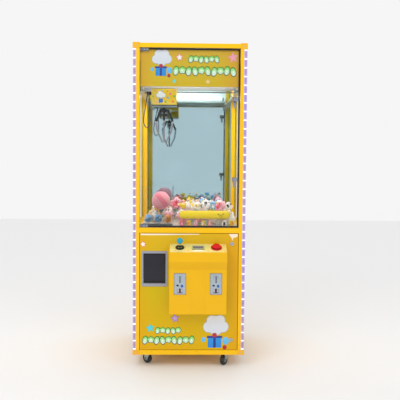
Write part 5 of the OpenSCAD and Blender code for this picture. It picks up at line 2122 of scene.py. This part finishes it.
    def big_pieces(self) -> None:
        """Long bolster with a face near its right end, and the big ball."""
        x0, x1, depth, z, radius = self.bolster
        inner = radius - 3
        cover = Solid().tube([(x0 + radius + (x1 - x0 - 2 * radius) * k / 12, depth, z)
                              for k in range(13)], inner, 28)
        for x in (x0 + radius, x1 - radius):
            cover.ellipsoid((x, depth, z), (inner, inner, inner))
        self.stuffed(cover, "bolster", PLUSH_YELLOW, "plush_bolster", 2.6)
        face = Solid()
        at = x1 - radius - 34
        for x, dz, r in ((at - 13, 6, 3.4), (at + 13, 6, 3.4), (at, -1, 2.8)):
            reach = math.sqrt(max((radius - 0.6) ** 2 - dz ** 2, 0))
            face.ellipsoid((x, depth - reach, z + dz), (r, 1.4, r * 1.15))
        smile = [(at + 9 * math.sin(a), depth - radius + 1.5, z - 9 - 3.5 * math.cos(a) + 2)
                 for a in (math.radians(-70 + 14 * k) for k in range(11))]
        face.tube(smile, 1.0, 6)
        piece(face, "bolster_face", "cabinet", BLACK)
        ball = Solid().ellipsoid((self.column_x(self.ball[0]), self.row_y + self.ball[1]
                                  * self.pitch, self.pocket(self.ball_r)),
                                 (self.ball_r - 4,) * 3, None, 4)
        self.stuffed(ball, "big_ball", PLUSH_BALL, "plush_ball", 3.6)

    def build(self) -> None:
        """Makes every toy."""
        self.heap()
        self.big_pieces()


def settled(obj: bpy.types.Object) -> bpy.types.Mesh:
    """A new mesh with an object's modifiers in it."""
    evaluated = obj.evaluated_get(bpy.context.evaluated_depsgraph_get())
    return bpy.data.meshes.new_from_object(evaluated)


def remeshed(data: bpy.types.Mesh, voxel: float, rounds: int) -> bpy.types.Mesh:
    """Skin of a mesh's joined lumps, smoothed.

    Args:
        data: The mesh.
        voxel: Size of the grid that the skin is found on.
        rounds: Rounds of smoothing.

    Returns:
        A new mesh.
    """
    holder = bpy.data.objects.new("remesh", data)
    bpy.context.scene.collection.objects.link(holder)
    grid = holder.modifiers.new("grid", "REMESH")
    grid.mode = "VOXEL"
    grid.voxel_size = voxel
    smooth = holder.modifiers.new("smooth", "SMOOTH")
    smooth.factor = 0.6
    smooth.iterations = rounds
    made = settled(holder)
    bpy.data.objects.remove(holder)
    return made


def inflate(obj: bpy.types.Object, limit: float) -> None:
    """Fills a cover by a short cloth simulation, and keeps the result as its mesh.

    Args:
        obj: The piece.
        limit: Farthest that a point may move, in metres.
    """
    obj.data = swapped(obj, remeshed(obj.data, 0.005, 6))
    start = [v.co.copy() for v in obj.data.vertices]
    cloth = obj.modifiers.new("cloth", "CLOTH")
    cloth.settings.use_pressure = True
    cloth.settings.uniform_pressure_force = 4.0
    cloth.settings.effector_weights.gravity = 0.0
    scene = bpy.context.scene
    for number in range(1, 21):
        scene.frame_set(number)
    filled = settled(obj)
    obj.modifiers.clear()
    obj.data = swapped(obj, filled)
    scene.frame_set(1)
    for vert, before in zip(obj.data.vertices, start):
        shift = vert.co - before
        if shift.length > limit:
            vert.co = before + shift * (limit / shift.length)
    finer = obj.modifiers.new("finer", "SUBSURF")
    finer.levels = finer.render_levels = 1
    smooth = settled(obj)
    obj.modifiers.clear()
    obj.data = swapped(obj, smooth)
    obj.data.shade_smooth()


def swapped(obj: bpy.types.Object, data: bpy.types.Mesh) -> bpy.types.Mesh:
    """Gives a new mesh the materials of the one it takes the place of.

    Args:
        obj: The object that it is for.
        data: The new mesh.

    Returns:
        The new mesh.
    """
    known = list(obj.data.materials)
    data.materials.clear()
    for material in known:
        data.materials.append(material)
    return data


def plush(name: str, red: int, green: int, blue: int) -> Plush:
    """Short pile fabric of one colour."""
    return Plush("plush_" + name, rgb(red, green, blue))


PINK, ROSE = plush("pink", 250, 178, 190), plush("rose", 234, 104, 124)
WHITE_PILE, YELLOW_PILE = plush("white", 250, 246, 240), plush("yellow", 250, 206, 50)
GREY, BEIGE = plush("grey", 176, 178, 186), plush("beige", 232, 206, 174)
BLUE, ORANGE = plush("blue", 120, 176, 226), plush("orange", 248, 160, 80)
BLACK_PILE, BROWN = plush("black", 40, 38, 42), plush("brown", 190, 148, 110)
MINT = plush("mint", 170, 222, 206)
PLUSH_YELLOW = plush("bolster", 248, 212, 36)
PLUSH_BALL = Plush("plush_ball", rgb(246, 160, 174), rgb(236, 128, 148), bands=15.0,
                   tilt=(0.75, 0.1, 0.65))
BEAD = Plastic("bead_black", rgb(12, 12, 14), 0.08, 0.6)
HEAP_LEFT = ((PINK, WHITE_PILE), (PINK, ROSE), (ROSE, WHITE_PILE), (WHITE_PILE, PINK),
             (PINK, WHITE_PILE), (BEIGE, WHITE_PILE), (WHITE_PILE, GREY), (YELLOW_PILE, WHITE_PILE))
GAP_ROW = ((ORANGE, WHITE_PILE), (YELLOW_PILE, WHITE_PILE), (BLUE, WHITE_PILE))
HEAP_RIGHT = ((WHITE_PILE, PINK), (GREY, WHITE_PILE), (YELLOW_PILE, ORANGE), (BLUE, WHITE_PILE),
              (WHITE_PILE, BLACK_PILE), (BEIGE, WHITE_PILE), (PINK, WHITE_PILE), (PINK, ROSE),
              (WHITE_PILE, YELLOW_PILE), (BROWN, BEIGE), (MINT, WHITE_PILE))
FRONT_ROW = ((ROSE, PINK), (YELLOW_PILE, ORANGE), (PINK, WHITE_PILE), (YELLOW_PILE, WHITE_PILE),
             (PINK, ORANGE), (GREY, BEIGE), (WHITE_PILE, BLACK_PILE), (YELLOW_PILE, ORANGE))


def main() -> None:
    """Builds the studio and every assembly."""
    logging.basicConfig(level=logging.INFO, format="%(name)s: %(message)s")
    studio = Studio()
    studio.camera()
    SpareLead().build()
    studio.build()
    for assembly in (Cabinet(), WindowDoor(), LowerDoor(), Console(), Gantry(), Casters(), Toys()):
        LOG.info("building %s", type(assembly).__name__)
        assembly.build()


if __name__ == "__main__":
    main()
